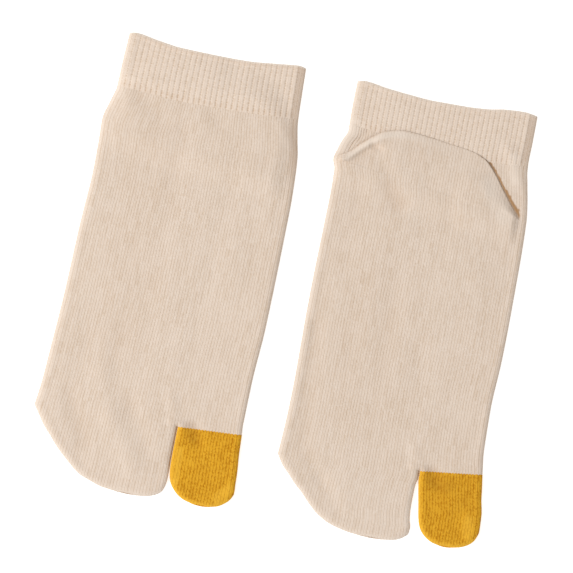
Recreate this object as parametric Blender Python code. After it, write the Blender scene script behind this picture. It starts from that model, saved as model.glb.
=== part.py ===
"""A pair of knitted split-toe (tabi) socks, laid flat side by side on a surface.

Each sock is a flattened tube of one-layer cloth in five knitted pieces: the ribbed cuff, the leg,
the foot with its heel pouch, the pocket for four toes and the stall for the big toe. The right
sock lies instep up with its heel pouch folded under the leg, the left one lies sole up with its
heel pouch folded over the leg. Lengths below are in millimetres. In a sock's own frame `across`
runs to the right, `along` runs from the mouth of the cuff to the toes, and z is up from the floor.
"""
import math
from collections import namedtuple

import bmesh
import bpy
import numpy as np

MM = 0.001

# Cloth
WALL = 1.1              # one layer of plain knit
CUFF_WALL = 1.3         # one layer of the elastic rib, under its ribs
HOLLOW = 0.8            # space between the two layers of a flat sock
SEAM = 0.3              # gap between neighbouring pieces
FLAT = 2 * WALL + HOLLOW
FOLD = 2.0              # the heel pouch, two layers pressed together
STACK = FOLD + SEAM     # how far the folded pouch raises what lies on it

# Cuff ribs
RIBS = 33               # on one face of the cuff
RIB_HEIGHT = 0.45
RIB_CREST = (0.28, 0.72)
CUFF_FLAT = 2 * CUFF_WALL + HOLLOW
CUFF_TOP = CUFF_FLAT + RIB_HEIGHT

# Soft side edges
ROLL_TOP = 3.0          # reach of the rounding above, from the outline inward
ROLL_BOTTOM = 1.5
ROLL_INSIDE = 0.6       # the roll of the inner surface is shorter by this share of the wall
ROLL_ANGLES_TOP = (60, 30, 0)
ROLL_ANGLES_BOTTOM = (45,)
WIDEST = 0.45           # height of the outermost point, as a share of the section's height
TIP_TOP = 3.0           # reach of the rounding at a toe's end
TIP_BOTTOM = 1.2
TIP_LEAST = 0.06        # the last row stops this far short of closing
TIP_BULGE = 0.5         # how far a toe's middle runs past its last row's ends
TIP_WALL = 1.2          # thickness of cloth at a toe's end and sides, in walls
SIDE_WALL = 1.3
LIP = 0.7               # length of the rounding at a mouth or a folded edge
LIP_DROP = 0.45

# Heel pouch
RAMP = 14.0             # length over which the foot climbs on to the folded pouch
RAMP_START = 2.0        # the climb ends this far past the hinge
DRAPE_MARGIN = 6.0      # cloth over the hidden pouch stays level this far past its rim
DRAPE = 10.0            # and then falls to the floor over this length
RIM_LIFT = 1.5          # the free rim of the upper pouch stands off the leg here
RIM_LIFT_LENGTH = 12.0
OVER_CUFF = (30.0, 36.0)    # the upper pouch comes down from the cuff between these
POUCH_ROWS_END = 74.0   # rows of the foot bend round the pouch up to here

Outline = namedtuple("Outline", "along left right")
Point = namedtuple("Point", "across along")
Sock = namedtuple("Sock", "name sole_up turn place body four_toes big_toe mouth cuff_end hinge rim"
                  " toe_line toe_line_sag rim_lifted")

RIGHT = Sock(
    name="right",
    sole_up=False,
    turn=-11.5,
    place=(-33.5, 120.4),
    body=(
        Outline(0, -45.2, 44.7), Outline(16, -45.9, 45.4), Outline(28, -46.1, 46.1),
        Outline(36, -48.0, 47.5), Outline(46, -50.2, 49.5), Outline(56, -49.8, 50.3),
        Outline(71, -49.5, 50.9), Outline(101, -50.7, 51.0), Outline(131, -51.3, 50.8),
        Outline(161, -52.6, 49.5), Outline(181, -53.7, 49.4), Outline(192, -54.9, 50.4),
    ),
    four_toes=(
        Outline(188, -55.0, 17.2), Outline(191.5, -54.9, 17.1), Outline(196, -52.2, 17.0),
        Outline(201, -48.7, 17.0), Outline(206, -44.1, 17.1), Outline(211, -39.5, 17.4),
        Outline(216, -33.9, 17.6), Outline(220, -29.0, 17.1), Outline(222, -26.0, 16.3),
        Outline(224, -20.5, 14.2), Outline(226, -13.6, 9.6), Outline(226.5, -8.0, 6.0),
    ),
    big_toe=(
        Outline(186, 17.6, 50.0), Outline(196, 17.5, 50.4), Outline(206, 17.6, 51.3),
        Outline(212, 18.1, 51.6), Outline(216, 19.1, 51.9), Outline(218, 20.1, 51.2),
        Outline(220, 21.7, 50.1), Outline(222, 23.8, 48.0), Outline(224, 27.2, 45.0),
        Outline(225.3, 32.0, 40.5),
    ),
    mouth=(
        Point(-45.4, 0.7), Point(-42, 0.2), Point(-30, 1.9), Point(-18, 3.2), Point(0, 3.4),
        Point(15, 3.1), Point(30, 1.5), Point(42, 0.2), Point(44.9, 0.7),
    ),
    cuff_end=(Point(-46, 27.9), Point(-12.5, 29.6), Point(16.6, 28.8), Point(46, 26.8)),
    hinge=(Point(-50.2, 46.0), Point(50.2, 56.0)),
    rim=(
        Point(-47, 46.3), Point(-40, 37.5), Point(-30, 30.0), Point(-16, 26.2), Point(0, 25.5),
        Point(16, 27.2), Point(30, 33.0), Point(40, 42.5), Point(47, 55.7),
    ),
    toe_line=(Point(-55, 191.5), Point(17.4, 188.9), Point(50.4, 186.6)),
    toe_line_sag=3.5,
    rim_lifted=None,
)

LEFT = Sock(
    name="left",
    sole_up=True,
    turn=-10.0,
    place=(80.7, 97.4),
    body=(
        Outline(0, -45.4, 46.3), Outline(16, -45.8, 46.1), Outline(26, -45.7, 45.8),
        Outline(31, -47.8, 46.1), Outline(36, -49.5, 47.0), Outline(41, -50.7, 47.9),
        Outline(46, -49.3, 48.8), Outline(56, -49.1, 50.0), Outline(76, -49.6, 50.4),
        Outline(106, -50.4, 50.3), Outline(126, -50.6, 49.9), Outline(151, -50.6, 48.6),
        Outline(171, -51.1, 48.9), Outline(184, -51.9, 50.3), Outline(191, -52.4, 51.3),
    ),
    four_toes=(
        Outline(186, -52.6, 18.8), Outline(190.6, -52.5, 18.8), Outline(196, -49.3, 18.7),
        Outline(200, -45.5, 18.1), Outline(204, -41.8, 17.8), Outline(208, -37.5, 17.9),
        Outline(212, -33.7, 18.3), Outline(216, -29.5, 19.2), Outline(219, -25.2, 18.9),
        Outline(221, -21.2, 17.2), Outline(222.5, -16.2, 14.9), Outline(223.6, -11.0, 12.0),
        Outline(224.1, -6.0, 8.0),
    ),
    big_toe=(
        Outline(183, 19.2, 50.2), Outline(191, 19.1, 51.3), Outline(196, 19.3, 51.9),
        Outline(204, 20.7, 53.3), Outline(212, 22.6, 53.6), Outline(216, 24.3, 52.4),
        Outline(218, 25.9, 51.1), Outline(220, 28.3, 48.6), Outline(221.5, 31.2, 45.2),
        Outline(222.2, 34.5, 41.5),
    ),
    mouth=(
        Point(-45.8, 0.7), Point(-42, 0.2), Point(-30, 1.9), Point(-18, 3.2), Point(-6, 4.1),
        Point(9, 4.1), Point(21, 3.5), Point(30, 2.1), Point(39, 1.7), Point(46.3, 2.6),
    ),
    cuff_end=(Point(-45.7, 22.2), Point(-33.7, 24.4), Point(0, 28.0), Point(29, 29.4),
              Point(46, 28.3)),
    hinge=(Point(-50.7, 40.5), Point(50.0, 56.0)),
    rim=(
        Point(-47.7, 41.0), Point(-42.5, 35.4), Point(-33.1, 27.0), Point(-26.6, 23.0),
        Point(-18, 21.4), Point(-6, 22.3), Point(6, 24.0), Point(17.5, 25.9), Point(24.2, 28.3),
        Point(29, 32.8), Point(36, 41.6), Point(42, 50.0), Point(47, 55.5),
    ),
    toe_line=(Point(-52.4, 190.6), Point(19.0, 187.3), Point(51, 183.6)),
    toe_line_sag=5.5,
    rim_lifted=(Point(22, 0.0), Point(31, 1.0), Point(40, 1.0), Point(46, 0.0)),
)

# Mesh density
SETTLING_STEPS = 12
FOOT_COLUMNS = (13, 6)          # on each face: beside the four toes, beside the big toe
LEG_COLUMNS = 18
FOUR_TOES_COLUMNS = 13
BIG_TOE_COLUMNS = 9
CUFF_UNDER_COLUMNS = 14
CUFF_ROWS = (0.22, 0.42, 0.6, 0.76, 0.9, 1.0)
LEG_ROWS = (0.0, 0.2, 0.4, 0.6, 0.8, 1.0)
POUCH_ROWS = (0.12, 0.3, 0.5, 0.75, 1.0)
FOOT_ROWS = (0.08, 0.2, 0.36, 0.52, 0.68, 0.84, 1.0)
TOE_ROWS = (0.0, 0.14, 0.28, 0.42, 0.55, 0.67, 0.78, 0.87, 0.93, 0.97, 0.99, 1.0)

# Colours, linear
BEIGE_RIB = (0.745, 0.605, 0.490)
BEIGE = (0.730, 0.590, 0.475)
MUSTARD = (0.680, 0.330, 0.026)


def smoothstep(value):
    value = np.clip(value, 0.0, 1.0)
    return value * value * (3.0 - 2.0 * value)


def blend(start, end, share):
    return start + (end - start) * share


def read_table(table, known, wanted, where):
    """Read a table's column as a smooth curve that never overshoots its rows."""
    x = np.array([getattr(row, known) for row in table], dtype=float)
    y = np.array([getattr(row, wanted) for row in table], dtype=float)
    step = np.diff(x)
    slope = np.diff(y) / step
    tangent = np.concatenate(([slope[0]], np.zeros(len(slope) - 1), [slope[-1]]))
    before, after = slope[:-1], slope[1:]
    rising = before * after > 0.0
    total = np.where(rising, before + after, 1.0)
    tangent[1:-1] = np.where(rising, 2.0 * before * after / total, 0.0)
    at = np.clip(where, x[0], x[-1])
    cell = np.clip(np.searchsorted(x, at, side="right") - 1, 0, len(step) - 1)
    u = (at - x[cell]) / step[cell]
    value = y[cell] * (1 + 2 * u) * (1 - u) ** 2 + y[cell + 1] * u * u * (3 - 2 * u)
    return value + step[cell] * u * (1 - u) * (tangent[cell] * (1 - u) - tangent[cell + 1] * u)


def along_at(curve, across):
    return read_table(curve, "across", "along", across)


def side(table, name, along):
    return float(read_table(table, "along", name, along))


def settle(table, name, line):
    """How far along the sock a line across it meets the left or right outline."""
    level = table[0].along
    for _ in range(SETTLING_STEPS):
        level = float(line(side(table, name, level)))
    return level


def row_ends(table, line, inward):
    """The outermost left and right points of a row, moved inward by a wall."""
    left = settle(table, "left", line)
    right = settle(table, "right", line)
    return (Point(side(table, "left", left) + inward, left),
            Point(side(table, "right", right) - inward, right))


def rolls_inside(wall):
    return (ROLL_TOP - wall * ROLL_INSIDE, ROLL_BOTTOM - wall * ROLL_INSIDE)


def toe_line(sock, across):
    """The line where the foot ends: a shallow bow beside the four toes, straight by the big toe."""
    outer, crotch, inner = sock.toe_line
    share = np.clip((across - outer.across) / (crotch.across - outer.across), 0.0, 1.0)
    beyond = np.clip((across - crotch.across) / (inner.across - crotch.across), 0.0, 1.0)
    bow = sock.toe_line_sag * 4.0 * share * (1.0 - share)
    line = blend(outer.along, crotch.along, share) - bow
    return line + (inner.along - crotch.along) * beyond


def pouch_edge(sock, across):
    """The folded edge of the heel pouch, meeting the hinge at both ends."""
    rim = along_at(sock.rim, across)
    hinge = along_at(sock.hinge, across)
    inside = (across > sock.rim[0].across) & (across < sock.rim[-1].across)
    return np.where(inside, np.minimum(rim, hinge), hinge)


def drape_height(sock, across, along):
    """Height of the underside of the leg and cuff where they lie over the hidden pouch."""
    if sock.sole_up:
        return np.zeros_like(across)
    past_rim = pouch_edge(sock, across) - DRAPE_MARGIN - along
    return STACK * smoothstep(1.0 - past_rim / DRAPE)


def climb(sock, across, along):
    """0 on the open foot, 1 where the foot's cloth lies on the pouch fold."""
    return smoothstep((along_at(sock.hinge, across) + RAMP_START + RAMP - along) / RAMP)


def standoff(sock, across, along):
    """Extra height of the upper pouch: over the thicker cuff, and where its rim stands free."""
    on_cuff, off_cuff = OVER_CUFF
    over_cuff = (CUFF_TOP - FLAT) * smoothstep((off_cuff - along) / (off_cuff - on_cuff))
    free = read_table(sock.rim_lifted, "across", "along", across)
    near_rim = smoothstep(1.0 - (along - pouch_edge(sock, across)) / RIM_LIFT_LENGTH)
    return over_cuff + RIM_LIFT * free * near_rim


def arc(start, outermost, end, angles_first, angles_second):
    """The rolled side from one face's end over the outermost point to the other face's end."""
    points = []
    for angle in angles_first:
        out, up = math.cos(math.radians(angle)), math.sin(math.radians(angle))
        flat = blend(start, outermost, out)
        points.append((flat[0], flat[1], blend(outermost[2], start[2], up)))
    for angle in angles_second:
        out, down = math.cos(math.radians(angle)), math.sin(math.radians(angle))
        flat = blend(end, outermost, out)
        points.append((flat[0], flat[1], blend(outermost[2], end[2], down)))
    return np.array(points)


Face = namedtuple("Face", "shares along height")


def ring(left, right, rolls, upper, lower):
    """One flattened section: upper face, right side, lower face reversed, left side."""
    faces = []
    for face, roll in ((upper, rolls[0]), (lower, rolls[1])):
        across = blend(left.across + roll, right.across - roll, face.shares)
        along = face.along(across, face.shares)
        faces.append(np.column_stack((across, along, face.height(across, along))))
    top, bottom = faces
    sides = []
    for end, spot in ((-1, right), (0, left)):
        height = blend(bottom[end, 2], top[end, 2], WIDEST)
        outermost = np.array((spot.across, spot.along, height))
        sides.append(arc(top[end], outermost, bottom[end], ROLL_ANGLES_TOP, ROLL_ANGLES_BOTTOM))
    return np.vstack((top, sides[0], bottom[::-1], sides[1][::-1]))


def evenly(count):
    return np.linspace(0.0, 1.0, count)


def split_shares(left, right, roll, middle):
    """Columns spread over a face so that one of them falls on a given place."""
    share = (middle - left - roll) / (right - left - 2 * roll)
    beside_four, beside_one = FOOT_COLUMNS
    first = np.linspace(0.0, share, beside_four)
    return np.concatenate((first, np.linspace(share, 1.0, beside_one + 1)[1:]))


def add_ring(mesh, points):
    return [mesh.verts.new((x * MM, -y * MM, z * MM)) for x, y, z in points]


def join_rings(mesh, first, second):
    for i in range(len(first)):
        j = (i + 1) % len(first)
        mesh.faces.new((first[i], first[j], second[j], second[i]))


def bridge(mesh, outer, inner, anchors):
    """Close the edge between an outer ring and an inner one that has fewer points."""
    for i in range(len(inner)):
        j = (i + 1) % len(inner)
        last = anchors[j] if j else len(outer)
        span = [outer[k % len(outer)] for k in range(anchors[i], last + 1)]
        mesh.faces.new(span + [inner[j], inner[i]])


def cap(mesh, points, columns):
    """Close a ring whose upper and lower faces have the same number of columns."""
    rolled = (len(points) - 2 * columns) // 2
    upper = points[:columns]
    lower = points[columns + rolled:2 * columns + rolled][::-1]
    for j in range(columns - 1):
        mesh.faces.new((upper[j], upper[j + 1], lower[j + 1], lower[j]))
    mesh.faces.new([upper[-1]] + points[columns:columns + rolled] + [lower[-1]])
    mesh.faces.new([lower[0]] + points[2 * columns + rolled:] + [upper[0]])


def make_material(name, colour, roughness):
    material = bpy.data.materials.new(name)
    material.use_nodes = True
    shader = material.node_tree.nodes["Principled BSDF"]
    shader.inputs["Base Color"].default_value = (*colour, 1.0)
    shader.inputs["Roughness"].default_value = roughness
    shader.inputs["Metallic"].default_value = 0.0
    material.diffuse_color = (*colour, 1.0)
    return material


def make_piece(name, outer, inner, colour, parent, collection, anchors=None, closed_columns=0):
    """A wall of cloth between outer and inner rings, open at its first ring."""
    mesh = bmesh.new()
    outer_rings = [add_ring(mesh, points) for points in outer]
    inner_rings = [add_ring(mesh, points) for points in inner]
    for rings in (outer_rings, inner_rings):
        for first, second in zip(rings, rings[1:]):
            join_rings(mesh, first, second)
    anchors = anchors or list(range(len(inner_rings[0])))
    bridge(mesh, outer_rings[0], inner_rings[0], anchors)
    if closed_columns:
        cap(mesh, outer_rings[-1], closed_columns)
        cap(mesh, inner_rings[-1], closed_columns)
    else:
        bridge(mesh, outer_rings[-1], inner_rings[-1], anchors)
    bmesh.ops.recalc_face_normals(mesh, faces=mesh.faces)
    data = bpy.data.meshes.new(name)
    mesh.to_mesh(data)
    mesh.free()
    data.shade_smooth()
    data.set_sharp_from_angle(angle=math.radians(40))
    data.materials.append(make_material(name + "_knit", colour, 0.95))
    piece = bpy.data.objects.new(name, data)
    piece.parent = parent
    collection.objects.link(piece)
    return piece


def make_cuff(sock, parent, collection):
    """Elastic rib from the mouth to the leg; ribs stand on the upper face, the inside is plain."""
    crests = [(rib + crest) / RIBS for rib in range(RIBS) for crest in (0.0, *RIB_CREST)] + [1.0]
    ribbed = np.array(crests)
    on_crest = np.array([column % 3 != 0 for column in range(len(ribbed))])
    grooves = evenly(RIBS + 1)
    under = evenly(CUFF_UNDER_COLUMNS)

    def row(share, past_lip, inset, inside):
        def along(across, _shares=None):
            start = along_at(sock.mouth, across) + past_lip
            return blend(start, along_at(sock.cuff_end, across) - SEAM / 2, share)

        def upper_height(across, along_):
            rib = RIB_HEIGHT * on_crest if not inside else 0.0
            top = CUFF_FLAT - CUFF_WALL if inside else CUFF_FLAT
            return drape_height(sock, across, along_) + top + rib - inset

        def lower_height(across, along_):
            bottom = CUFF_WALL if inside else 0.0
            return drape_height(sock, across, along_) + bottom + inset

        wall = CUFF_WALL if inside else 0.0
        ends = row_ends(sock.body, along, wall + inset)
        upper = Face(grooves if inside else ribbed, along, upper_height)
        return ring(*ends, rolls_inside(wall), upper, Face(under, along, lower_height))

    rows = [(0.0, 0.0, LIP_DROP), (0.0, LIP, 0.0)] + [(share, LIP, 0.0) for share in CUFF_ROWS]
    outer = [row(share, past, inset, False) for share, past, inset in rows]
    inner = [row(share, past, -inset / 2, True) for share, past, inset in rows]
    plain = len(inner[0]) - len(grooves)
    anchors = [3 * k for k in range(len(grooves))]
    anchors += [len(ribbed) + k for k in range(plain)]
    make_piece(sock.name + "_cuff", outer, inner, BEIGE_RIB, parent, collection, anchors)


def make_leg(sock, parent, collection):
    """The short leg, from the cuff to the hinge of the heel pouch."""
    shares = evenly(LEG_COLUMNS)

    def row(share, inside):
        wall = WALL if inside else 0.0

        def along(across, _shares=None):
            start = along_at(sock.cuff_end, across) + SEAM / 2
            return blend(start, along_at(sock.hinge, across) - SEAM / 2, share)

        def upper_height(across, along_):
            return drape_height(sock, across, along_) + FLAT - wall

        def lower_height(across, along_):
            return drape_height(sock, across, along_) + wall

        return ring(*row_ends(sock.body, along, wall), rolls_inside(wall),
                    Face(shares, along, upper_height), Face(shares, along, lower_height))

    outer = [row(share, False) for share in LEG_ROWS]
    inner = [row(share, True) for share in LEG_ROWS]
    make_piece(sock.name + "_leg", outer, inner, BEIGE, parent, collection)


def make_foot(sock, parent, collection):
    """Foot tube from the toe line to the hinge; its sole runs on as the folded heel pouch."""
    crotch = sock.toe_line[1].across
    toe_left = side(sock.body, "left", sock.toe_line[0].along)
    toe_right = side(sock.body, "right", sock.toe_line[2].along)

    def row(past_edge, pouch_share, foot_share, drop, inside):
        wall = WALL if inside else 0.0
        rolls = rolls_inside(wall)

        def spread(end):
            def along(across, _shares=None):
                start = blend(end(across) + past_edge, POUCH_ROWS_END, pouch_share)
                return blend(start, toe_line(sock, across) - SEAM / 2, foot_share)
            return along

        def hinge(across):
            return along_at(sock.hinge, across) + SEAM / 2

        def rim(across):
            edge = pouch_edge(sock, across)
            middle = (across > across[0]) & (across < across[-1])
            return np.where(middle, np.minimum(edge, hinge(across)), hinge(across))

        def upper_height(across, along_):
            folded = climb(sock, across, along_)
            if not sock.sole_up:
                return FLAT - wall + STACK * folded
            free = folded * standoff(sock, across, along_)
            if inside:
                return FLAT - WALL + (SEAM + WALL) * folded + free + drop / 2
            return FLAT + STACK * folded + free - drop

        def lower_height(across, along_):
            if sock.sole_up:
                return np.full_like(across, wall)
            if inside:
                return WALL + (FOLD - WALL) * climb(sock, across, along_) - drop / 2
            return np.full_like(across, drop / 2)

        upper_edge, lower_edge = (rim, hinge) if sock.sole_up else (hinge, rim)
        faces = []
        for edge, height, roll in ((upper_edge, upper_height, rolls[0]),
                                   (lower_edge, lower_height, rolls[1])):
            shares = split_shares(toe_left + wall, toe_right - wall, roll, crotch)
            faces.append(Face(shares, spread(edge), height))
        return ring(*row_ends(sock.body, spread(hinge), wall), rolls, *faces)

    rows = [(0.0, 0.0, 0.0, LIP_DROP), (LIP, 0.0, 0.0, 0.0)]
    rows += [(LIP, share, 0.0, 0.0) for share in POUCH_ROWS]
    rows += [(LIP, 1.0, share, 0.0) for share in FOOT_ROWS]
    outer = [row(*values, False) for values in rows]
    inner = [row(*values, True) for values in rows]
    make_piece(sock.name + "_foot", outer, inner, BEIGE, parent, collection)


def make_toe_pocket(sock, name, table, columns, colour, parent, collection):
    """A closed pocket from the toe line to its rounded end."""
    shares = evenly(columns)
    tip = table[-1].along

    def mouth(across):
        return toe_line(sock, across) + SEAM / 2

    starts = (settle(table, "left", mouth), settle(table, "right", mouth))

    def row(share, inside):
        wall = WALL if inside else 0.0
        back = wall * TIP_WALL * share
        levels = [blend(start, tip, share) for start in starts]
        ends = [Point(side(table, end, level) + inward * wall * SIDE_WALL, level - back)
                for end, level, inward in zip(("left", "right"), levels, (1, -1))]
        rest = (1.0 - share) * (tip - starts[0]) + TIP_LEAST
        top_round = math.sqrt(1.0 - (1.0 - min(1.0, rest / TIP_TOP)) ** 2)
        bottom_round = math.sqrt(1.0 - (1.0 - min(1.0, rest / TIP_BOTTOM)) ** 2)
        middle = blend(wall, FLAT - wall, WIDEST)

        def along(across, across_shares):
            straight = blend(*levels, across_shares)
            bowed = (mouth(across) - blend(*starts, across_shares)) * (1.0 - share) ** 2
            bulge = TIP_BULGE * share ** 4 * 4.0 * across_shares * (1.0 - across_shares)
            return straight + bowed + bulge - back

        def upper_height(across, _):
            return np.full_like(across, blend(middle, FLAT - wall, top_round))

        def lower_height(across, _):
            return np.full_like(across, blend(middle, wall, bottom_round))

        return ring(*ends, rolls_inside(wall), Face(shares, along, upper_height),
                    Face(shares, along, lower_height))

    outer = [row(share, False) for share in TOE_ROWS]
    inner = [row(share, True) for share in TOE_ROWS]
    make_piece(sock.name + name, outer, inner, colour, parent, collection, None, columns)


def make_sock(sock, pair, collection):
    frame = bpy.data.objects.new(sock.name + "_sock", None)
    frame.location = (sock.place[0] * MM, sock.place[1] * MM, 0.0)
    frame.rotation_euler = (0.0, 0.0, math.radians(sock.turn))
    frame.parent = pair
    collection.objects.link(frame)
    make_cuff(sock, frame, collection)
    make_leg(sock, frame, collection)
    make_foot(sock, frame, collection)
    make_toe_pocket(sock, "_four_toes", sock.four_toes, FOUR_TOES_COLUMNS, BEIGE, frame, collection)
    make_toe_pocket(sock, "_big_toe", sock.big_toe, BIG_TOE_COLUMNS, MUSTARD, frame, collection)


def centre_on_floor(pair, collection):
    """Bring the middle of the pair's own box to the origin."""
    bpy.context.view_layer.update()
    pieces = [piece for piece in collection.objects if piece.type == "MESH"]
    spots = np.array([piece.matrix_world @ vertex.co for piece in pieces
                      for vertex in piece.data.vertices])
    middle = (spots.min(axis=0) + spots.max(axis=0)) / 2
    pair.location = (-middle[0], -middle[1], 0.0)
    bpy.context.view_layer.update()


def main():
    for item in list(bpy.data.objects):
        bpy.data.objects.remove(item, do_unlink=True)
    collection = bpy.data.collections.new("tabi_socks")
    bpy.context.scene.collection.children.link(collection)
    pair = bpy.data.objects.new("tabi_socks", None)
    collection.objects.link(pair)
    for sock in (RIGHT, LEFT):
        make_sock(sock, pair, collection)
    centre_on_floor(pair, collection)


main()
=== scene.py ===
"""A pair of knitted split-toe (tabi) socks laid flat, built stitch by stitch on a fixed frame.

Lengths in the tables are in millimetres, in each sock's own frame: `across` runs to the right,
`along` runs from the mouth of the cuff to the toes, and heights are above the floor.
"""

import math
from collections import namedtuple

import bmesh
import bpy
import numpy as np
from bpy.props import FloatProperty, FloatVectorProperty, IntProperty, PointerProperty
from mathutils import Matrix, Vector


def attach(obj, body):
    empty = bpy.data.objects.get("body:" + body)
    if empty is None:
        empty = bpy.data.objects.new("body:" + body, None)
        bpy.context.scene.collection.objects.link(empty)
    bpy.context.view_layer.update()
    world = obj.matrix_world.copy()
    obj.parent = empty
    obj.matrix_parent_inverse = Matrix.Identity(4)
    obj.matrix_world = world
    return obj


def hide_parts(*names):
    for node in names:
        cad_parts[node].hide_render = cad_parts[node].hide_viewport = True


bl_info = {
    "name": "Tabi Socks",
    "version": (1, 0, 0),
    "blender": (4, 5, 0),
    "location": "3D View > Sidebar > Tabi Socks",
    "description": "Knits a pair of split-toe socks, laid flat, one instep up and one sole up",
    "category": "Add Mesh",
}

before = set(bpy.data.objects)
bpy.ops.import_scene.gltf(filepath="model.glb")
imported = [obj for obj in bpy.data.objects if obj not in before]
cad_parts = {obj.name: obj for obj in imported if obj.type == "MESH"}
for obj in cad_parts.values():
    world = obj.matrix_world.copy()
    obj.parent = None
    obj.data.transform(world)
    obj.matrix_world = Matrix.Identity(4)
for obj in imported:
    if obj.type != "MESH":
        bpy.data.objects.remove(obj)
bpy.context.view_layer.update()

MM = 0.001
BODY = "root"

Outline = namedtuple("Outline", "along left right")
Point = namedtuple("Point", "across along")     # or, in a curve of values, a place and its value
Crease = namedtuple("Crease", "start end width height")     # also used for strokes of relief and of painted highlight and shade
Sock = namedtuple("Sock", "name sole_up turn place body four_toes big_toe mouth cuff_end hinge rim"
                  " toe_line toe_line_sag toe_corners slit_end fold_ends facet lip_shade creases"
                  " brushed gathers seed")
ROWS = {
    Outline: ("body", "four_toes", "big_toe"),
    Point: ("mouth", "cuff_end", "hinge", "rim", "toe_line", "fold_ends", "facet"),
    Crease: ("creases", "brushed", "gathers"),
}


def curve(*places):
    """A curve of values across a sock."""
    return tuple(Point(*place) for place in places)


def make_sock(**parts):
    """A sock whose bare tables are turned into named rows."""
    for row, names in ROWS.items():
        for name in names:
            parts[name] = tuple(row(*values) for values in parts[name])
    return Sock(**parts)


# Cloth
WALL = 1.1              # one layer of plain knit
SIDE_WALL = 1.3         # thickness of the cloth at a rolled side, in walls
INSET_FADE = 6.0        # the inner face nears the outer one's place this far in
WIDEST = 0.45           # height of the outermost point, as a share of a flat sock's height
EDGE_ROLL = (2.2, 1.8, 0.10)        # a soft roll: distance in from the edge, width, height
EDGE_FURROW = (5.6, 1.5, 0.05)      # and the furrow inside it
FACET_WIDTH, FACET_EDGE, FACET_LOW = 4.4, 1.0, 0.42     # the wider band turned down at the right
FACET_SHADE = 0.17
GAP_SHADE = 0.95        # shade in the gap beside the pouch's free rim
SLIT_SHADE, SLIT_REACH = 0.30, 2.2
SLIT_LINE, SLIT_LINE_REACH, SLIT_LINE_SHARPNESS = 0.6, 0.9, 1.5
EDGE_HIGHLIGHT, EDGE_HIGHLIGHT_REACH = 0.55, 2.8      # painted highlight, paler, along the lit sides
RIGHT_ROLL = 0.62       # the right side's roll is tighter than the left one's
DENT_SHADE = 0.09       # deeper shade in the dents, per millimetre
SOFT_REACH = 5.0        # creases fade out this near an edge
CREASE_REACH = 2.2      # or, if narrow, within this many widths of it
STROKE_FLATNESS = 4     # a higher power gives strokes a flatter middle and a quicker fade
# Slight unevenness: height, length across, length along
MOTTLE = ((0.25, 9.0, 55.0), (0.14, 12.0, 18.0), (0.05, 5.0, 7.0))
HASH = (12.9898, 78.233, 43758.5453)    # these scramble two numbers into one
LOOP_SQUARENESS = 0.7   # a lower power gives flatter stitch columns and narrower valleys
LOOP_MEAN, LOOP_SWING = 0.9, 0.1        # height of a loop, and how far it changes in a course
MEAN_RELIEF = 0.55      # taken off, so that the relief adds no height on average
UNEVEN = 0.22           # loops differ in height by this share
RUN, RUN_SPREAD = 0.4, 7.0      # and alike ones come in runs, this many to a course
RUNG = 0.62             # the rungs between ribs, to a course
RUNG_MEAN, RUNG_SWING = 0.58, 0.42

# Heel pouch
RAMP = 14.0             # length over which the foot climbs on to the folded pouch
RAMP_START = 2.0        # the climb ends this far past the hinge
DRAPE_MARGIN = 6.0      # cloth over the hidden pouch stays level this far past its rim
DRAPE = 18.0            # and then falls to the floor over this length
SIDE_FADE = 1.5         # the very sides stay down on the floor
GATHER_FADE = 3.0       # the gathers end this far above the hinge
THINNEST_FOLD = 0.05
LEAST_SHARE = 0.004     # with less of the fold than this there is none
POUCH_DENT = 0.6        # creases press this much deeper into the pouch
POUCH_TURN = 100.0      # stitch count at the start of the pouch's hidden layer
RIM_LIFT_LENGTH = 12.0
RIM_LIFTED = curve((22, 0.0), (31, 0.5), (40, 0.5), (46, 0.0))
OVER_CUFF = (30.0, 36.0)    # the upper pouch comes down from the cuff between these
CREVICE = curve((-50, 0.0), (-44, 0.25), (-24, 0.0), (18, 0.0), (27, 0.1), (41, 0.2), (46, 0.0))
CREVICE_WIDTH = curve((-50, 2.4), (18, 0.9), (30, 2.6), (38, 3.6), (44, 3.0))
RIM_THIN = curve((-50, 0.36), (-12, 0.36), (8, 0.24), (20, 0.15), (50, 0.15))
RIM_THIN_REACH, RIM_THIN_MOST = 15.0, 0.8       # the fold is pressed flatter towards its rim
RIM_MIDDLE = 0.3         # height of the rim's own line, as a share of the fold
RIM_REACH = curve((-50, 3.6), (-30, 3.6), (-18, 3.4), (16, 3.0), (26, 1.6), (50, 1.4))
RIM_REACH_HIDDEN = 1.0
RIM_BEAD = curve((-50, 1.3), (-32, 1.2), (-20, 0.4), (0, 0.1), (50, 0.05))
RIM_BEAD_AT, RIM_BEAD_WIDTH = 3.2, 2.4
# Painted highlight on the lit rolled band along the pouch's rim.
RIM_HIGHLIGHT = curve((-47, 0.0), (-43, 0.75), (-20, 0.7), (-12, 0.45), (-4, 0.25), (8, 0.12),
                 (20, 0.0))
RIM_HIGHLIGHT_FROM, RIM_HIGHLIGHT_TO = (0.3, 1.1), (2.6, 5.2)     # the painted highlight band rises and ends in these
# How far the shade of the gap reaches out from the free rim
GAP_WIDTH = curve((-48, 0.0), (-42, 0.2), (-24, 0.0), (18, 0.1), (22, 1.6), (26, 2.0), (30, 2.4),
                  (36, 3.0), (41, 3.6), (44, 4.1), (45.4, 3.7), (45.9, 0.0))
RIM_SHADE, RIM_SHADE_REACH = 0.22, 0.7      # the rim's own edge takes the gap's warm shade
GAP_NEAR = (0.35, 1.5)              # the shade is less right under the rim, up to this far out
GAP_RAGGED, GAP_RAG = 0.35, 0.8     # the gap's far side is ragged with stitches
GAP_SOFTNESS = 0.6

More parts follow.
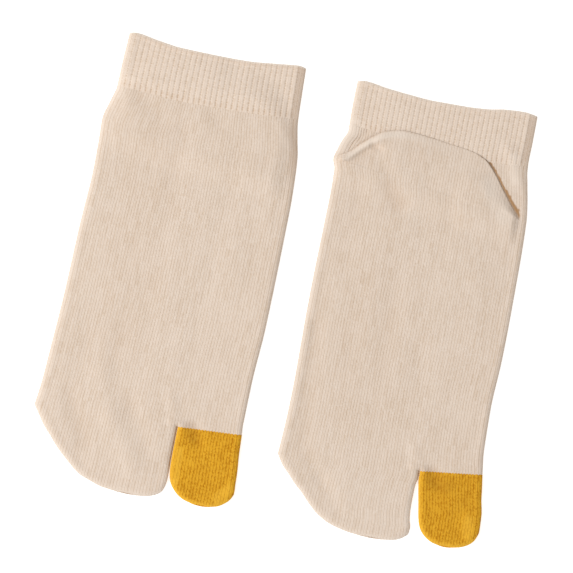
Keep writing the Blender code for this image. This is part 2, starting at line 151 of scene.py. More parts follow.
# Toe ends
SEAM_RELIEF, SEAM_WIDTH = 0.6, 0.7
SEAM_FROM, SEAM_RISE = -25.0, 20.0      # the joining row shows from here towards the slit
TOOTH, TOOTH_REACH = 0.28, 1.2
TIP_BULGE = 0.4
TIP_LIT = 6.0           # the painted highlight runs round the tip this far up
LIT_SHARE = 0.4         # and down this share of a pocket's width from the lit side
LIT_FOUR_TOES, LIT_BIG_TOE = 1.0, 1.3
START_FADE = 4          # a pocket's first rows follow the foot's last one, fading by this power
TOE_ZONE = 160.0        # the toe end's edges are measured all round from here on
MARGIN = 5.0

# Cuff
CUFF_ROLL = 0.85        # reach of the cuff's side roll, in side rolls
CUFF_TAPER = 5.0        # length over which the cuff thins to meet the leg
RIBS_FROM, RIBS_RISE = 0.8, 0.25        # where the ribs set in beside the roll, in rolls
RIB_VALLEY = 0.17       # half width of the valley between ribs, in ribs
RIB_START = 2.0
RIB_END = 1.2
TICKS_AT, TICKS_LENGTH, TICK_WIDTH, TICK_SHADE = 1.8, 1.3, 0.16, 0.27   # dark ends of the valleys
# A painted shade line just inside the mouth, and painted highlight on the mouth's edge.
LIP_LINE_AT, LIP_LINE_WIDTH = 1.3, 0.6
LIP_HIGHLIGHT, LIP_HIGHLIGHT_REACH = 1.0, 1.3
LIP_BEAD, LIP_AT, LIP_FURROW, LIP_FURROW_AT, LIP_WIDTH = 0.22, 1.2, 0.18, 3.0, 0.8

# Places and mesh density
SHIFT = (-0.0975, -0.043)       # brings the pair's middle to the frame's
SETTLING_STEPS = 10     # rounds of looking for where a line meets an outline
PER_WALE = 3            # points across one stitch column
PER_RIB = 8
ROWS_PER_COURSE = 2
ARC_COLUMNS = 9
ROLL_WALES = 3          # stitch columns round a rolled side
UNDER_COLUMNS = 25
UNDER_ANGLES = (0.0, 35.0, 65.0)
OUTLINE_STEP = 0.5
OUTLINE_LEVELS = 90     # levels of a toe's outline
END_LEVELS = 700        # levels tried for a column's end
AREA_STEPS = 200
CHUNK = 2000            # points measured at one time
RIM_ROWS = np.array((0.0, 0.004, 0.013, 0.026, 0.043, 0.064, 0.09))
POUCH_ROWS = 42
POUCH_ROWS_HIDDEN = 14
POUCH_INNER_ROWS = (0.97, 0.9, 0.75, 0.55, 0.35, 0.2, 0.1, 0.05, 0.02, 0.006)
INNER_LEG_ROWS = (0.03, 0.5, 1.0)
INNER_FOOT_ROWS = (0.0, 0.12, 0.25, 0.4, 0.55, 0.7, 0.82, 0.9, 0.94, 0.96, 0.98, 0.995)
INNER_POCKET_ROWS = np.array((0.02, 0.15, 0.3, 0.45, 0.6, 0.72, 0.82, 0.9, 0.96, 1.0))
INNER_CUFF_ROWS = (0.15, 0.35, 0.6, 0.8, 0.98)
TIP_ROWS = np.array((0.0015, 0.005, 0.01, 0.02))
LIP_ANGLES = (20, 45, 70, 90, 110, 135, 160, 180)
# Columns close beside the slit, and the room left between them and the body's own
FINE_EDGE = np.array((0.0, 0.06, 0.2, 0.42, 0.72))
CLEAR_OF_EDGE = 0.25
MIDDLE = np.linspace(-35.0, 35.0, 15)       # places across a sock that its lengths are taken at
# Boxes of the bake map: left, bottom, right, top
BAKE_LEG_TOP, BAKE_FOOT_TOP = (0.0, 0.0, 0.60, 0.12), (0.0, 0.13, 0.60, 1.0)
BAKE_LEG_LOW, BAKE_FOOT_LOW = (0.62, 0.0, 0.80, 0.12), (0.62, 0.13, 0.80, 1.0)
BAKE_POUCH = (0.82, 0.0, 1.0, 0.5)
BAKE_BODY_INNER = ((0.82, 0.52, 1.0, 0.74), (0.82, 0.76, 1.0, 1.0))
BAKE_POCKET_TOP, BAKE_POCKET_LOW = (0.0, 0.0, 0.62, 1.0), (0.64, 0.0, 0.80, 1.0)
BAKE_POCKET_INNER = ((0.82, 0.0, 1.0, 0.48), (0.82, 0.52, 1.0, 1.0))
BAKE_CUFF = ((0.0, 0.0, 0.78, 1.0), (0.8, 0.0, 1.0, 1.0))
WELD = 0.002            # points that round to the same steps of this are one point
PROBE = 0.05            # step for measuring a slope
TINY = 1e-9
TINY_GAP = 1e-6
SHARP = math.radians(50)     # edges that turn more than this stay crisp

# Stage, in metres
FLOOR_SIZE = 6.0
FLOOR_LEVEL = -0.0003
KEY_SIZE = 1.5
KEY_PLACE = (-1.8, -0.12, 1.9)
CAMERA_LENS = 200.0
CAMERA_SENSOR = 36.0
CAMERA_REACH = 10.0
WHITE = (1.0, 1.0, 1.0, 1.0)
FRAME_WIDTH = 0.2865
FRAME_CENTRE = (0.00025, 0.00175)

RIGHT = make_sock(
    name="right",
    sole_up=False,
    turn=-11.5,
    place=(-33.5, 120.4),
    body=(
        (0, -45.2, 44.7), (16, -45.9, 45.4), (28, -46.1, 46.1), (36, -48.0, 47.5),
        (46, -50.2, 49.5), (56, -49.8, 50.3), (71, -49.5, 50.9), (101, -50.7, 51.0),
        (131, -51.3, 50.8), (161, -52.6, 49.5), (181, -53.7, 49.4), (192, -54.9, 50.4),
    ),
    four_toes=(
        (188, -55.0, 17.45), (191.5, -54.9, 17.42), (196, -52.2, 17.40), (201, -48.7, 17.42),
        (206, -44.1, 17.48), (211, -39.5, 17.7), (216, -33.9, 17.7), (220, -29.0, 17.1),
        (222, -26.0, 16.3), (224, -20.5, 14.2), (226, -13.6, 9.6), (226.6, -8.0, 6.0),
    ),
    big_toe=(
        (186, 17.6, 50.0), (196, 17.5, 50.4), (206, 17.6, 51.3), (212, 18.1, 51.6),
        (216, 19.1, 51.9), (218, 20.1, 51.2), (220, 21.7, 50.1), (222, 23.8, 48.0),
        (224, 27.2, 45.0), (225.3, 32.0, 40.5),
    ),
    mouth=(
        (-45.4, 0.7), (-42, 0.2), (-30, 1.9), (-18, 3.2), (0, 3.4), (15, 3.1), (30, 1.5),
        (42, 0.2), (44.9, 0.7),
    ),
    cuff_end=((-46, 27.9), (-12.5, 29.6), (16.6, 28.8), (46, 26.8)),
    hinge=((-50.2, 46.0), (50.2, 56.0)),
    rim=(
        (-50.2, 46.0), (-40, 37.5), (-30, 30.0), (-16, 26.2), (0, 25.5), (16, 27.2), (30, 33.0),
        (40, 42.5), (50.2, 56.0),
    ),
    toe_line=((-55, 191.5), (17.4, 188.9), (50.4, 186.6)),
    toe_line_sag=3.5,
    toe_corners=((191.5, 215.0), (-0.10, 0.0), (200.0, 214.0), (0.0, 0.0)),
    slit_end=214.0,
    fold_ends=((-50.2, 13.0), (50.2, 13.0)),
    facet=((1.0, 0.0), (1.0, 46.0), (0.25, 62.0), (0.1, 190.0)),
    lip_shade=0.15,
    creases=(
        ((-44, 22.7), (45, 20.0), 1.8, 0.26), ((-34, 30), (-22, 38), 5.0, -0.45),
        ((-40, 42), (-36, 54), 5.0, -0.35), ((2, 31), (8, 36), 4.0, -0.35),
        ((-42, 49), (-10, 43), 2.4, -0.18), ((-10, 43), (38, 34), 2.4, -0.14),
        ((38, 62), (42, 80), 6.0, 0.30), ((30, 96), (33, 114), 6.0, 0.22),
        ((-38, 184), (-28, 204), 5.0, -0.60), ((-24, 170), (-17, 190), 5.5, 0.60),
        ((-17, 190), (-2, 212), 5.5, 0.55), ((-8, 182), (5, 204), 4.5, -0.45),
        ((12, 176), (16, 188), 3.0, 0.35), ((25.5, 187), (29, 195), 3.4, -0.80),
        ((13.0, 187.0), (18.5, 187.6), 1.3, 0.50),
    ),
    # Strokes of painted highlight above zero and of painted shade below zero.
    brushed=(
        ((23.5, 188.5), (26.5, 192), 3.6, -0.22), ((22, 216), (21, 200), 1.6, 0.5),
        ((44, 220), (49, 214), 2.6, 0.4), ((-22, 60), (-20, 150), 14.0, -0.03),
        ((10, 70), (14, 160), 12.0, 0.04),
    ),
    gathers=(),
    seed=11.0,
)

LEFT = make_sock(
    name="left",
    sole_up=True,
    turn=-10.0,
    place=(80.7, 97.4),
    body=(
        (0, -45.4, 46.3), (16, -45.8, 46.1), (26, -45.7, 45.8), (31, -47.8, 46.1),
        (36, -49.5, 47.0), (41, -50.7, 47.9), (46, -49.3, 48.8), (56, -49.1, 50.0),
        (76, -49.6, 50.4), (106, -50.4, 50.3), (126, -50.6, 49.9), (151, -50.6, 48.6),
        (171, -51.1, 48.9), (184, -51.9, 50.3), (191, -52.4, 51.3),
    ),
    four_toes=(
        (186, -52.6, 19.0), (190.6, -52.5, 18.97), (191.5, -52.1, 18.9), (194.2, -50.5, 18.15),
        (196, -49.3, 18.0), (200, -45.5, 17.9), (204, -41.8, 17.8), (208, -37.5, 17.9),
        (212, -33.7, 18.3), (216, -29.5, 19.2), (219, -25.2, 18.9), (221, -21.2, 17.2),
        (222.5, -16.2, 14.9), (223.6, -11.0, 12.0), (224.2, -6.0, 8.0),
    ),
    big_toe=(
        (183, 19.2, 50.2), (191, 19.1, 51.3), (196, 19.8, 51.9), (204, 21.2, 53.3),
        (212, 22.7, 53.6), (216, 24.3, 52.4), (218, 25.9, 51.1), (220, 28.3, 48.6),
        (221.5, 31.2, 45.2), (222.3, 34.5, 41.5),
    ),
    mouth=(
        (-45.8, 0.7), (-42, 0.2), (-30, 1.9), (-18, 3.2), (-6, 4.1), (9, 4.1), (21, 3.5),
        (30, 2.1), (39, 1.7), (46.3, 2.6),
    ),
    cuff_end=((-45.7, 22.2), (-33.7, 24.4), (0, 28.0), (29, 29.4), (46, 28.3)),
    hinge=((-50.7, 40.5), (50.0, 56.0)),
    rim=(
        (-50.7, 40.5), (-46.5, 38.3), (-42.5, 35.5), (-38.6, 31.6), (-33.1, 27.0), (-26.6, 23.0),
        (-18, 21.4), (-6, 22.3), (6, 24.0), (17.5, 25.9), (24.0, 28.6), (29, 33.4), (36, 42.6),
        (41, 49.2), (44.3, 53.0), (47, 55.6), (50, 56.0),
    ),
    toe_line=((-52.4, 190.6), (19.0, 187.3), (51, 183.6)),
    toe_line_sag=5.5,
    toe_corners=((190.6, 216.5), (-0.10, 0.0), (206.0, 210.0), (0.0, 0.0)),
    slit_end=194.0,
    fold_ends=((-50.7, 5.0), (47.0, 5.0)),
    facet=((1.0, 0.0), (1.0, 24.0), (0.2, 32.0), (0.1, 190.0)),
    lip_shade=0.0,
    creases=(
        ((-36.5, 25.5), (-43.5, 33.5), 1.5, -0.45), ((35, 22), (43, 36), 3.6, 0.8),
        ((-32.5, 31.2), (-28.5, 32.4), 1.6, -0.5), ((-50, 47), (-46.5, 44), 2.0, -0.30),
        ((-46.5, 44), (-31.5, 31.4), 2.0, -0.35), ((-20, 51), (-15.5, 57), 5.2, -0.90),
        ((9, 52), (13, 62), 5.0, -0.40), ((-29, 36), (-24, 42), 4.0, -0.35),
        ((-44.5, 125), (-41, 180), 4.5, -0.50), ((31, 88), (35, 116), 6.0, 0.30),
        ((9, 126), (11, 142), 5.0, -0.25), ((-41, 186), (-29, 200), 4.0, -0.40),
        ((-29, 200), (-18, 214), 4.0, -0.45), ((14, 176), (19, 187), 3.0, 0.30),
        ((14.5, 185.4), (20.0, 186.0), 1.3, 0.50), ((25.5, 186), (29, 193), 3.4, -0.80),
        ((47, 207), (50, 215), 4.0, 0.60),
    ),
    # Strokes of painted highlight above zero and of painted shade below zero.
    brushed=(
        ((-43, 24), (-48, 34), 4.5, 0.45), ((-20, 51), (-15.5, 57), 5.0, -0.07),
        ((-11, 29), (-7, 35), 5.0, -0.05), ((24, 189), (33, 192), 4.6, -0.22),
        ((30, 200), (46, 196), 12.0, -0.08), ((47, 207), (48, 214), 3.0, 0.4),
        ((17.4, 197), (17.4, 214), 2.0, 0.6), ((28, 41), (38, 55), 4.5, 0.45),
        ((38, 25), (40.5, 36), 2.6, 0.5), ((-20, 90), (-16, 160), 14.0, -0.03),
        ((14, 80), (18, 150), 10.0, 0.04), ((-30, 200), (5, 212), 10.0, 0.10),
    ),
    gathers=(((-43, 22), (-48, 36), 6.0, 0.7), ((-36, 26), (-42, 31), 5.0, 0.3)),
    seed=47.0,
)

SOCKS = (RIGHT, LEFT)


def length_property(name, description, default):
    return FloatProperty(name=name, description=description, default=default, unit="LENGTH")


def count_property(name, description, default, least):
    return IntProperty(name=name, description=description, default=default, min=least)


def colour_property(name, description, default):
    return FloatVectorProperty(name=name, description=description, default=default,
                               subtype="COLOR", min=0, max=1)


class KnitSizes(bpy.types.PropertyGroup):
    """Sizes of the cloth and its stitches."""

    flat_height: length_property("Flat height", "Height of a flat sock", 0.0030)
    fold: length_property("Folded pouch", "Thickness of the folded heel pouch", 0.0020)
    fold_gap: length_property("Fold gap", "Space between the pouch and the leg", 0.0003)
    rim_lift: length_property("Rim lift", "How far the free rim stands off the leg", 0.0002)
    roll: length_property("Side roll", "Reach of the rounded side above", 0.0042)
    roll_under: length_property("Side roll under", "Reach of the rounding below", 0.0015)
    cuff_wall: length_property("Cuff wall", "Thickness of one layer of the rib", 0.0013)
    cuff_height: length_property("Cuff height", "Height of the flat cuff", 0.0034)
    wales: count_property("Wales", "Stitch columns on one face of the foot", 66, 20)
    course: length_property("Course", "Height of one row of stitches", 0.00125)
    relief: length_property("Stitch relief", "Depth between the stitch columns", 0.00015)
    ribs_right: count_property("Ribs, right", "Ribs on one face of the right cuff", 31, 8)
    ribs_left: count_property("Ribs, left", "Ribs on one face of the left cuff", 34, 8)
    rib_height: length_property("Rib height", "Height of a rib over its grooves", 0.00026)


class YarnColours(bpy.types.PropertyGroup):
    """Colours of the yarns and of the stage."""

    beige: colour_property("Beige", "Yarn of the cuff, leg and foot", (0.664, 0.548, 0.453))
    # The colours between stitches are partly the yarn's own uneven tone and partly painted shade
    # down in the valleys and holes between stitch columns.
    beige_deep: colour_property("Beige between stitches",
                                "Colour down between the stitch columns", (0.515, 0.382, 0.268))
    mustard: colour_property("Mustard", "Yarn of the big toe stall", (0.675, 0.343, 0.021))
    mustard_deep: colour_property("Mustard between stitches",
                                  "Colour down between the mustard stitches",
                                  (0.425, 0.165, 0.0035))
    floor: colour_property("Floor", "Colour of the studio floor", (0.8, 0.8, 0.8))
    floor_glow: FloatProperty(name="Floor glow", default=0.58, min=0,
                              description="How brightly the floor is lit through")
    key: FloatProperty(name="Key light", description="Power of the soft light at the left",
                       default=54.0, subtype="POWER")
    ambient: FloatProperty(name="Ambient", description="Strength of the even studio light",
                           default=0.655)


def smoothstep(value):
    value = np.clip(value, 0.0, 1.0)
    return value * value * (3.0 - 2.0 * value)


def blend(start, end, share):
    return start + (end - start) * share


def uneven(first, second):
    """A fixed number from 0 to 1 that differs from stitch to stitch."""
    mixed = np.sin(first * HASH[0] + second * HASH[1]) * HASH[2]
    return mixed - np.floor(mixed)


def soft_noise(x, y, seed):
    """Smooth uneven heights from -1 to 1."""
    column, row = np.floor(x), np.floor(y)
    u, v = smoothstep(x - column), smoothstep(y - row)
    low = blend(uneven(column + seed, row), uneven(column + seed + 1.0, row), u)
    high = blend(uneven(column + seed, row + 1.0), uneven(column + seed + 1.0, row + 1.0), u)
    return 2.0 * blend(low, high, v) - 1.0


def read_table(table, known, wanted, where):
    """Read a table's column as a smooth curve that never overshoots its rows."""
    x = np.array([getattr(row, known) for row in table], dtype=float)
    y = np.array([getattr(row, wanted) for row in table], dtype=float)
    step = np.diff(x)
    slope = np.diff(y) / step
    tangent = np.concatenate(([slope[0]], np.zeros(len(slope) - 1), [slope[-1]]))
    before, after = slope[:-1], slope[1:]
    rising = before * after > 0.0
    total = np.where(rising, before + after, 1.0)
    tangent[1:-1] = np.where(rising, 2.0 * before * after / total, 0.0)
    at = np.clip(where, x[0], x[-1])
    cell = np.clip(np.searchsorted(x, at, side="right") - 1, 0, len(step) - 1)
    u = (at - x[cell]) / step[cell]
    value = y[cell] * (1 + 2 * u) * (1 - u) ** 2 + y[cell + 1] * u * u * (3 - 2 * u)
    return value + step[cell] * u * (1 - u) * (tangent[cell] * (1 - u) - tangent[cell + 1] * u)


def curve_at(table, across):
    """How far along a line lies, or a curve's value, at a place across the sock."""
    return read_table(table, "across", "along", across)


def side(table, name, along):
    return read_table(table, "along", name, along)


def toe_line(sock, across):
    """The line where the foot ends: a shallow bow by the four toes, straight by the big toe."""
    outer, crotch, inner = sock.toe_line
    share = np.clip((across - outer.across) / (crotch.across - outer.across), 0.0, 1.0)
    beyond = np.clip((across - crotch.across) / (inner.across - crotch.across), 0.0, 1.0)
    bow = sock.toe_line_sag * 4.0 * share * (1.0 - share)
    line = blend(outer.along, crotch.along, share) - bow
    return line + (inner.along - crotch.along) * beyond


def pouch_edge(sock, across):
    """The folded edge of the heel pouch, meeting the hinge at both ends."""
    return np.minimum(curve_at(sock.rim, across), curve_at(sock.hinge, across))


def creases(sock, across, along, distance):
    """Soft troughs and ridges pressed into the cloth, and the slight unevenness of the knit."""
    height = np.zeros_like(across)
    for crease in sock.creases:
        start = np.array(crease.start)
        run = np.array(crease.end) - start
        length = float(np.hypot(*run))
        unit = run / length
        forward = (across - start[0]) * unit[0] + (along - start[1]) * unit[1]
        sideways = (across - start[0]) * unit[1] - (along - start[1]) * unit[0]
        past = np.maximum(np.maximum(-forward, forward - length), 0.0)
        fade = smoothstep(distance / min(SOFT_REACH, CREASE_REACH * crease.width))
        height += crease.height * fade * np.exp(-(sideways ** 2 + past ** 2) / crease.width ** 2)
    inside = smoothstep(distance / SOFT_REACH)
    for amount, width, length in MOTTLE:
        height += amount * inside * soft_noise(across / width, along / length, sock.seed)
    return height


def meeting(table, name, line):
    """Where a line across the sock meets the left or right outline."""
    level = table[0].along
    for _ in range(SETTLING_STEPS):
        level = float(line(side(table, name, level)))
    return side(table, name, level)


def outlines(sock):
    """The edges of the toe end as two loops of points, one round each pocket."""
    outer, crotch, inner = sock.toe_line

    def edge(table, name, levels):
        return np.column_stack((side(table, name, levels), levels))

    def toe(table, name, start):
        return edge(table, name, rounded_steps(start.along, table[-1].along))

    def flank(name, end):
        return edge(sock.body, name, np.arange(TOE_ZONE, end.along, OUTLINE_STEP))

    four = np.vstack((flank("left", outer), toe(sock.four_toes, "left", outer),
                      toe(sock.four_toes, "right", crotch)[::-1]))
    one = np.vstack((toe(sock.big_toe, "left", crotch), toe(sock.big_toe, "right", inner)[::-1],
                     flank("right", inner)[::-1]))
    return four, one


def rounded_steps(start, end):
    """Levels from start to end that crowd together at the end, where an outline turns fastest."""
    share = np.sin(np.linspace(0.0, math.pi / 2, OUTLINE_LEVELS))
    return blend(start, end, share)


def distance_to(loop, across, along):
    """Distance from each point to a line of points."""
    spots = np.column_stack((across.ravel(), along.ravel()))
    first, run = loop[:-1], np.diff(loop, axis=0)
    length = np.maximum((run ** 2).sum(axis=1), TINY)
    nearest = np.empty(len(spots))
    for start in range(0, len(spots), CHUNK):
        part = spots[start:start + CHUNK, None, :] - first[None, :, :]
        share = np.clip((part * run).sum(axis=2) / length, 0.0, 1.0)
        gap = part - share[:, :, None] * run
        nearest[start:start + CHUNK] = np.sqrt((gap ** 2).sum(axis=2).min(axis=1))
    return nearest.reshape(across.shape)


def past_sides(sock, across, along):
    """Distance across the sock to its nearer side, below zero outside it."""
    along = np.minimum(along, sock.body[-1].along)
    return np.minimum(across - side(sock.body, "left", along),
                      side(sock.body, "right", along) - across)


def edge_distance_sides(sock, across, along):
    """Distance across the sock to its nearer side, none outside it."""
    return np.maximum(past_sides(sock, across, along), 0.0)


def edge_distance(sock, across, along):
    """Distance from a point of the sock to its nearest edge, the slit included."""
    across, along = np.broadcast_arrays(np.asarray(across, float), np.asarray(along, float))
    distance = past_sides(sock, across, along)
    near = along > TOE_ZONE + MARGIN
    if near.any():
        loops = outlines(sock)
        found = np.minimum(*(distance_to(loop, across[near], along[near]) for loop in loops))
        distance = distance.copy()
        distance[near] = found
    return np.maximum(distance, 0.0)


def quarter(distance, reach):
    """0 at an edge and 1 past its rounding, as a quarter of an ellipse."""
    return np.sqrt(1.0 - (1.0 - np.clip(distance / reach, 0.0, 1.0)) ** 2)


def rounding(sock, across, along, distance, reach):
    """Rise of an upper face from its edge; the leg's right side turns down over a wider band."""
    facet = quarter(distance, FACET_EDGE) * blend(FACET_LOW, 1.0,
                                                  np.clip(distance / FACET_WIDTH, 0.0, 1.0))
    reach = reach * np.where(across > 0.0, RIGHT_ROLL, 1.0)
    return blend(quarter(distance, reach), facet, facet_share(sock, across, along))


def facet_share(sock, across, along):
    """How far the right side turns down over its wider band."""
    return read_table(sock.facet, "along", "across", along) * (across > 0.0)


def facet_shade(sock, across, along, distance):
    """Share of shade on the band turned down at the right."""
    return FACET_SHADE * facet_share(sock, across, along) * smoothstep(FACET_WIDTH - distance)


def slit_shade(sock, across, along):
    """Share of shade on the four toes' side of the slit: a soft band and a darker line."""
    past = side(sock.four_toes, "right", along) - across
    on_four = (past > -SLIT_REACH) * (across < sock.toe_line[1].across + TINY_GAP)
    band = SLIT_SHADE * smoothstep(1.0 - past / SLIT_REACH)
    line = SLIT_LINE * smoothstep(SLIT_LINE_SHARPNESS * (1.0 - past / SLIT_LINE_REACH))
    return (band + line) * on_four * smoothstep((sock.slit_end - along) / SOFT_REACH)


def painted_light_share(sock, across, along, distance, lit):
    """Share of painted highlight: along the lit edges, and in strokes of painted highlight (above
    zero) and painted shade (below zero).
    """
    edge = EDGE_HIGHLIGHT * smoothstep(1.0 - distance / EDGE_HIGHLIGHT_REACH) * lit
    return edge + strokes(sock.brushed, across, along)


def strokes(marks, across, along):
    """Broad soft strokes laid over the cloth, added together."""
    total = np.zeros_like(across)
    for mark in marks:
        start = np.array(mark.start)
        run = np.array(mark.end) - start
        place = ((across - start[0]) * run[0] + (along - start[1]) * run[1]) / float(run @ run)
        place = np.clip(place, 0.0, 1.0)
        off = np.hypot(across - start[0] - place * run[0], along - start[1] - place * run[1])
        total = total + mark.height * np.exp(-(off / mark.width) ** STROKE_FLATNESS)
    return total


def dent_shade(sock, across, along, distance):
    """Share of shade down in the dents."""
    return DENT_SHADE * np.maximum(-creases(sock, across, along, distance), 0.0)


def soft_bead(distance):
    """The thick soft roll along an edge and the faint furrow inside it."""
    roll, furrow = EDGE_ROLL, EDGE_FURROW
    return (roll[2] * np.exp(-((distance - roll[0]) / roll[1]) ** 2)
            - furrow[2] * np.exp(-((distance - furrow[0]) / furrow[1]) ** 2))


def pouch_share(sock, across):
    """0 at the ends of the pouch fold and 1 across its middle."""
    left, right = sock.fold_ends
    return (smoothstep((across - left.across) / left.along)
            * smoothstep((right.across - across) / right.along))


def climb(sock, across, along):
    """0 on the open foot, 1 where the foot's cloth lies on the pouch fold."""
    return smoothstep((curve_at(sock.hinge, across) + RAMP_START + RAMP - along) / RAMP)


def stack(sizes):
    """Height of the folded pouch and the gap over it."""
    return (sizes.fold + sizes.fold_gap) / MM


def drape_height(sock, sizes, across, along, distance):
    """Height of the underside of the leg and cuff where they lie over the hidden pouch."""
    if sock.sole_up:
        return np.zeros_like(across)
    past_rim = pouch_edge(sock, across) - DRAPE_MARGIN - along
    share = pouch_share(sock, across) * smoothstep(distance / SIDE_FADE)
    return stack(sizes) * share * smoothstep(1.0 - past_rim / DRAPE)


def leg_heights(sock, sizes, across, along, distance):
    """Underside, middle and top of the leg at a place."""
    flat = sizes.flat_height / MM
    lift = drape_height(sock, sizes, across, along, distance)
    middle = lift + WIDEST * flat
    low = middle - WIDEST * flat * quarter(distance, sizes.roll_under / MM)
    rise = rounding(sock, across, along, distance, sizes.roll / MM)
    top = middle + (1 - WIDEST) * flat * rise
    form = soft_form(sock, across, along, distance) + crevice(sock, across, along, distance)
    return low, middle, top + form


def foot_heights(sock, sizes, across, along, distance):
    """Underside, middle of the hollow, side crest and top of the foot at a place."""
    flat = sizes.flat_height / MM
    share = pouch_share(sock, across) * smoothstep(distance / SIDE_FADE)
    lift = stack(sizes) * share * climb(sock, across, along)
    crest = WIDEST * flat * np.ones_like(lift)
    low = crest * (1.0 - quarter(distance, sizes.roll_under / MM))
    rise = rounding(sock, across, along, distance, sizes.roll / MM)
    top = crest + lift + (1 - WIDEST) * flat * rise
    hollow = crest + (0.0 if sock.sole_up else lift)
    return low, hollow, top + soft_form(sock, across, along, distance)


def soft_form(sock, across, along, distance):
    """The soft rolls, creases and waves of a face."""
    return soft_bead(distance) * smoothstep(distance) + creases(sock, across, along, distance)


def crevice(sock, across, along, distance):
    """The leg and cuff give way under the pouch's rim, most where it stands free."""
    if not sock.sole_up:
        return 0.0
    depth = curve_at(CREVICE, across)
    width = curve_at(CREVICE_WIDTH, across)
    past = (pouch_edge(sock, across) - along) / width
    return -depth * np.exp(-past ** 2) * smoothstep(distance / SOFT_REACH)


def stitch_height(sizes, wale, course):
    """Relief of the knit: columns of uneven loops with narrow valleys between them."""
    column = np.abs(np.sin(math.pi * wale)) ** LOOP_SQUARENESS
    loop = LOOP_MEAN + LOOP_SWING * np.cos(2 * math.pi * course)
    number = np.floor(wale + TINY_GAP)
    run = np.floor(course * RUN + uneven(number, 0.0) * RUN_SPREAD)
    size = blend(1.0 - UNEVEN, 1.0 + UNEVEN, uneven(number, run))
    return sizes.relief / MM * (column * loop * size - MEAN_RELIEF)


class Cloth:
    """A piece of cloth put together from grids of points that share their borders."""

    def __init__(self):
        self.points, self.faces, self.knit, self.bake, self.tucked = [], [], [], [], []
        self.count = 0

    def grid(self, points, knit, box, flip=False, tucked=None):
        """Rows by columns of points, with their place in the knit and a box of the bake map."""
        rows, columns = points.shape[:2]
        number = self.count + np.arange(rows * columns).reshape(rows, columns)
        quads = np.stack((number[:-1, :-1], number[:-1, 1:], number[1:, 1:], number[1:, :-1]), -1)
        quads = quads.reshape(-1, 4)
        self.faces.append(quads[:, ::-1] if flip else quads)
        self.points.append(points.reshape(-1, 3))
        self.knit.append(knit.reshape(-1, 2))
        self.tucked.append(np.zeros(rows * columns) if tucked is None else tucked.ravel())
        u = blend(box[0], box[2], np.linspace(0.0, 1.0, columns))
        v = blend(box[1], box[3], np.linspace(0.0, 1.0, rows))
        self.bake.append(np.stack(np.meshgrid(u, v), -1).reshape(-1, 2))
        self.count += rows * columns

    def build(self, name, place):
        """Weld the grids and make the object."""
        points = np.vstack(self.points)
        faces = np.vstack(self.faces)
        knit, bake = np.vstack(self.knit), np.vstack(self.bake)
        _, first, number = np.unique(np.round(points / WELD).astype(np.int64), axis=0,
                                     return_index=True, return_inverse=True)
        number = number.ravel()
        kept, loops = [], []
        for face in faces.tolist():
            corners = []
            for corner in face:
                if not corners or number[corner] != number[corners[-1]]:
                    corners.append(corner)
            if len(corners) > 1 and number[corners[0]] == number[corners[-1]]:
                corners.pop()
            welded = [int(number[corner]) for corner in corners]
            if len(set(welded)) > 2:
                kept.append(welded)
                loops.extend(corners)
        data = bpy.data.meshes.new(name)
        data.from_pydata(place(points[first]).tolist(), [], kept)
        for label, values in (("OFBake", bake), ("knit", knit)):
            layer = data.uv_layers.new(name=label)
            layer.data.foreach_set("uv", values[loops].ravel())
        # Per-point share of painted shade; below zero it is a share of painted highlight.
        shade = data.attributes.new("tucked", "FLOAT", "POINT")
        shade.data.foreach_set("value", np.concatenate(self.tucked)[first].astype(np.float32))
        data.validate()
        piece = bpy.data.objects.new(name, data)
        bpy.context.scene.collection.objects.link(piece)
        return piece


def placed(sock):
    """From a sock's own frame in millimetres to the shared frame in metres."""
    turn = math.radians(sock.turn)
    cos, sin = math.cos(turn), math.sin(turn)

    def place(points):
        across, along, height = points.T
        x = sock.place[0] + SHIFT[0] + across * cos + along * sin
        y = sock.place[1] + SHIFT[1] + across * sin - along * cos
        return np.column_stack((x, y, height)) * MM

    return place


class Columns(namedtuple("Columns", "left right offset out up wale")):
    """Columns of points across a sock, each held by its share of the two outlines."""

    def between(self, left, right):
        return self.left * left + self.right * right + self.offset


def shares_and_offsets(reach, offset, shares):
    """How columns follow the left and right outlines: a rolled side, the face, a rolled side."""
    ones, zeros = np.ones(len(offset)), np.zeros(len(offset))
    return (np.concatenate((ones, 1.0 - shares, zeros)), np.concatenate((zeros, shares, ones)),
            np.concatenate((offset, reach * (1.0 - 2.0 * shares), -offset[::-1])))


def arc_columns(reach):
    """Columns round a rolled side, from the outermost one inward."""
    angle = np.radians(np.arange(ARC_COLUMNS) * 90.0 / ARC_COLUMNS)
    return reach * (1.0 - np.cos(angle)), np.cos(angle), np.sin(angle)


def side_to_side(reach, shares, wales):
    """Columns of an upper face with a rolled side at each end."""
    offset, out, up = arc_columns(reach)
    count, none, one = len(offset), np.zeros(len(shares)), np.ones(len(shares))
    round_wales = np.arange(count) / (count / ROLL_WALES)
    last = ROLL_WALES + wales[-1]
    return Columns(
        *shares_and_offsets(reach, offset, shares),
        out=np.concatenate((-out, none, out[::-1])),
        up=np.concatenate((up, one, up[::-1])),
        wale=np.concatenate((round_wales, ROLL_WALES + wales, last + ROLL_WALES
                             - round_wales[::-1])),
    )


def under_columns(reach, wales):
    """The fewer columns of an underside, its outermost ones shared with the upper face."""
    offset = reach * (1.0 - np.cos(np.radians(UNDER_ANGLES)))
    shares = np.linspace(0.0, 1.0, UNDER_COLUMNS)
    zeros = np.zeros(UNDER_COLUMNS + 2 * len(offset))
    return Columns(*shares_and_offsets(reach, offset, shares), out=zeros, up=zeros,
                   wale=np.linspace(0.0, wales + 2.0 * ROLL_WALES, len(zeros)))


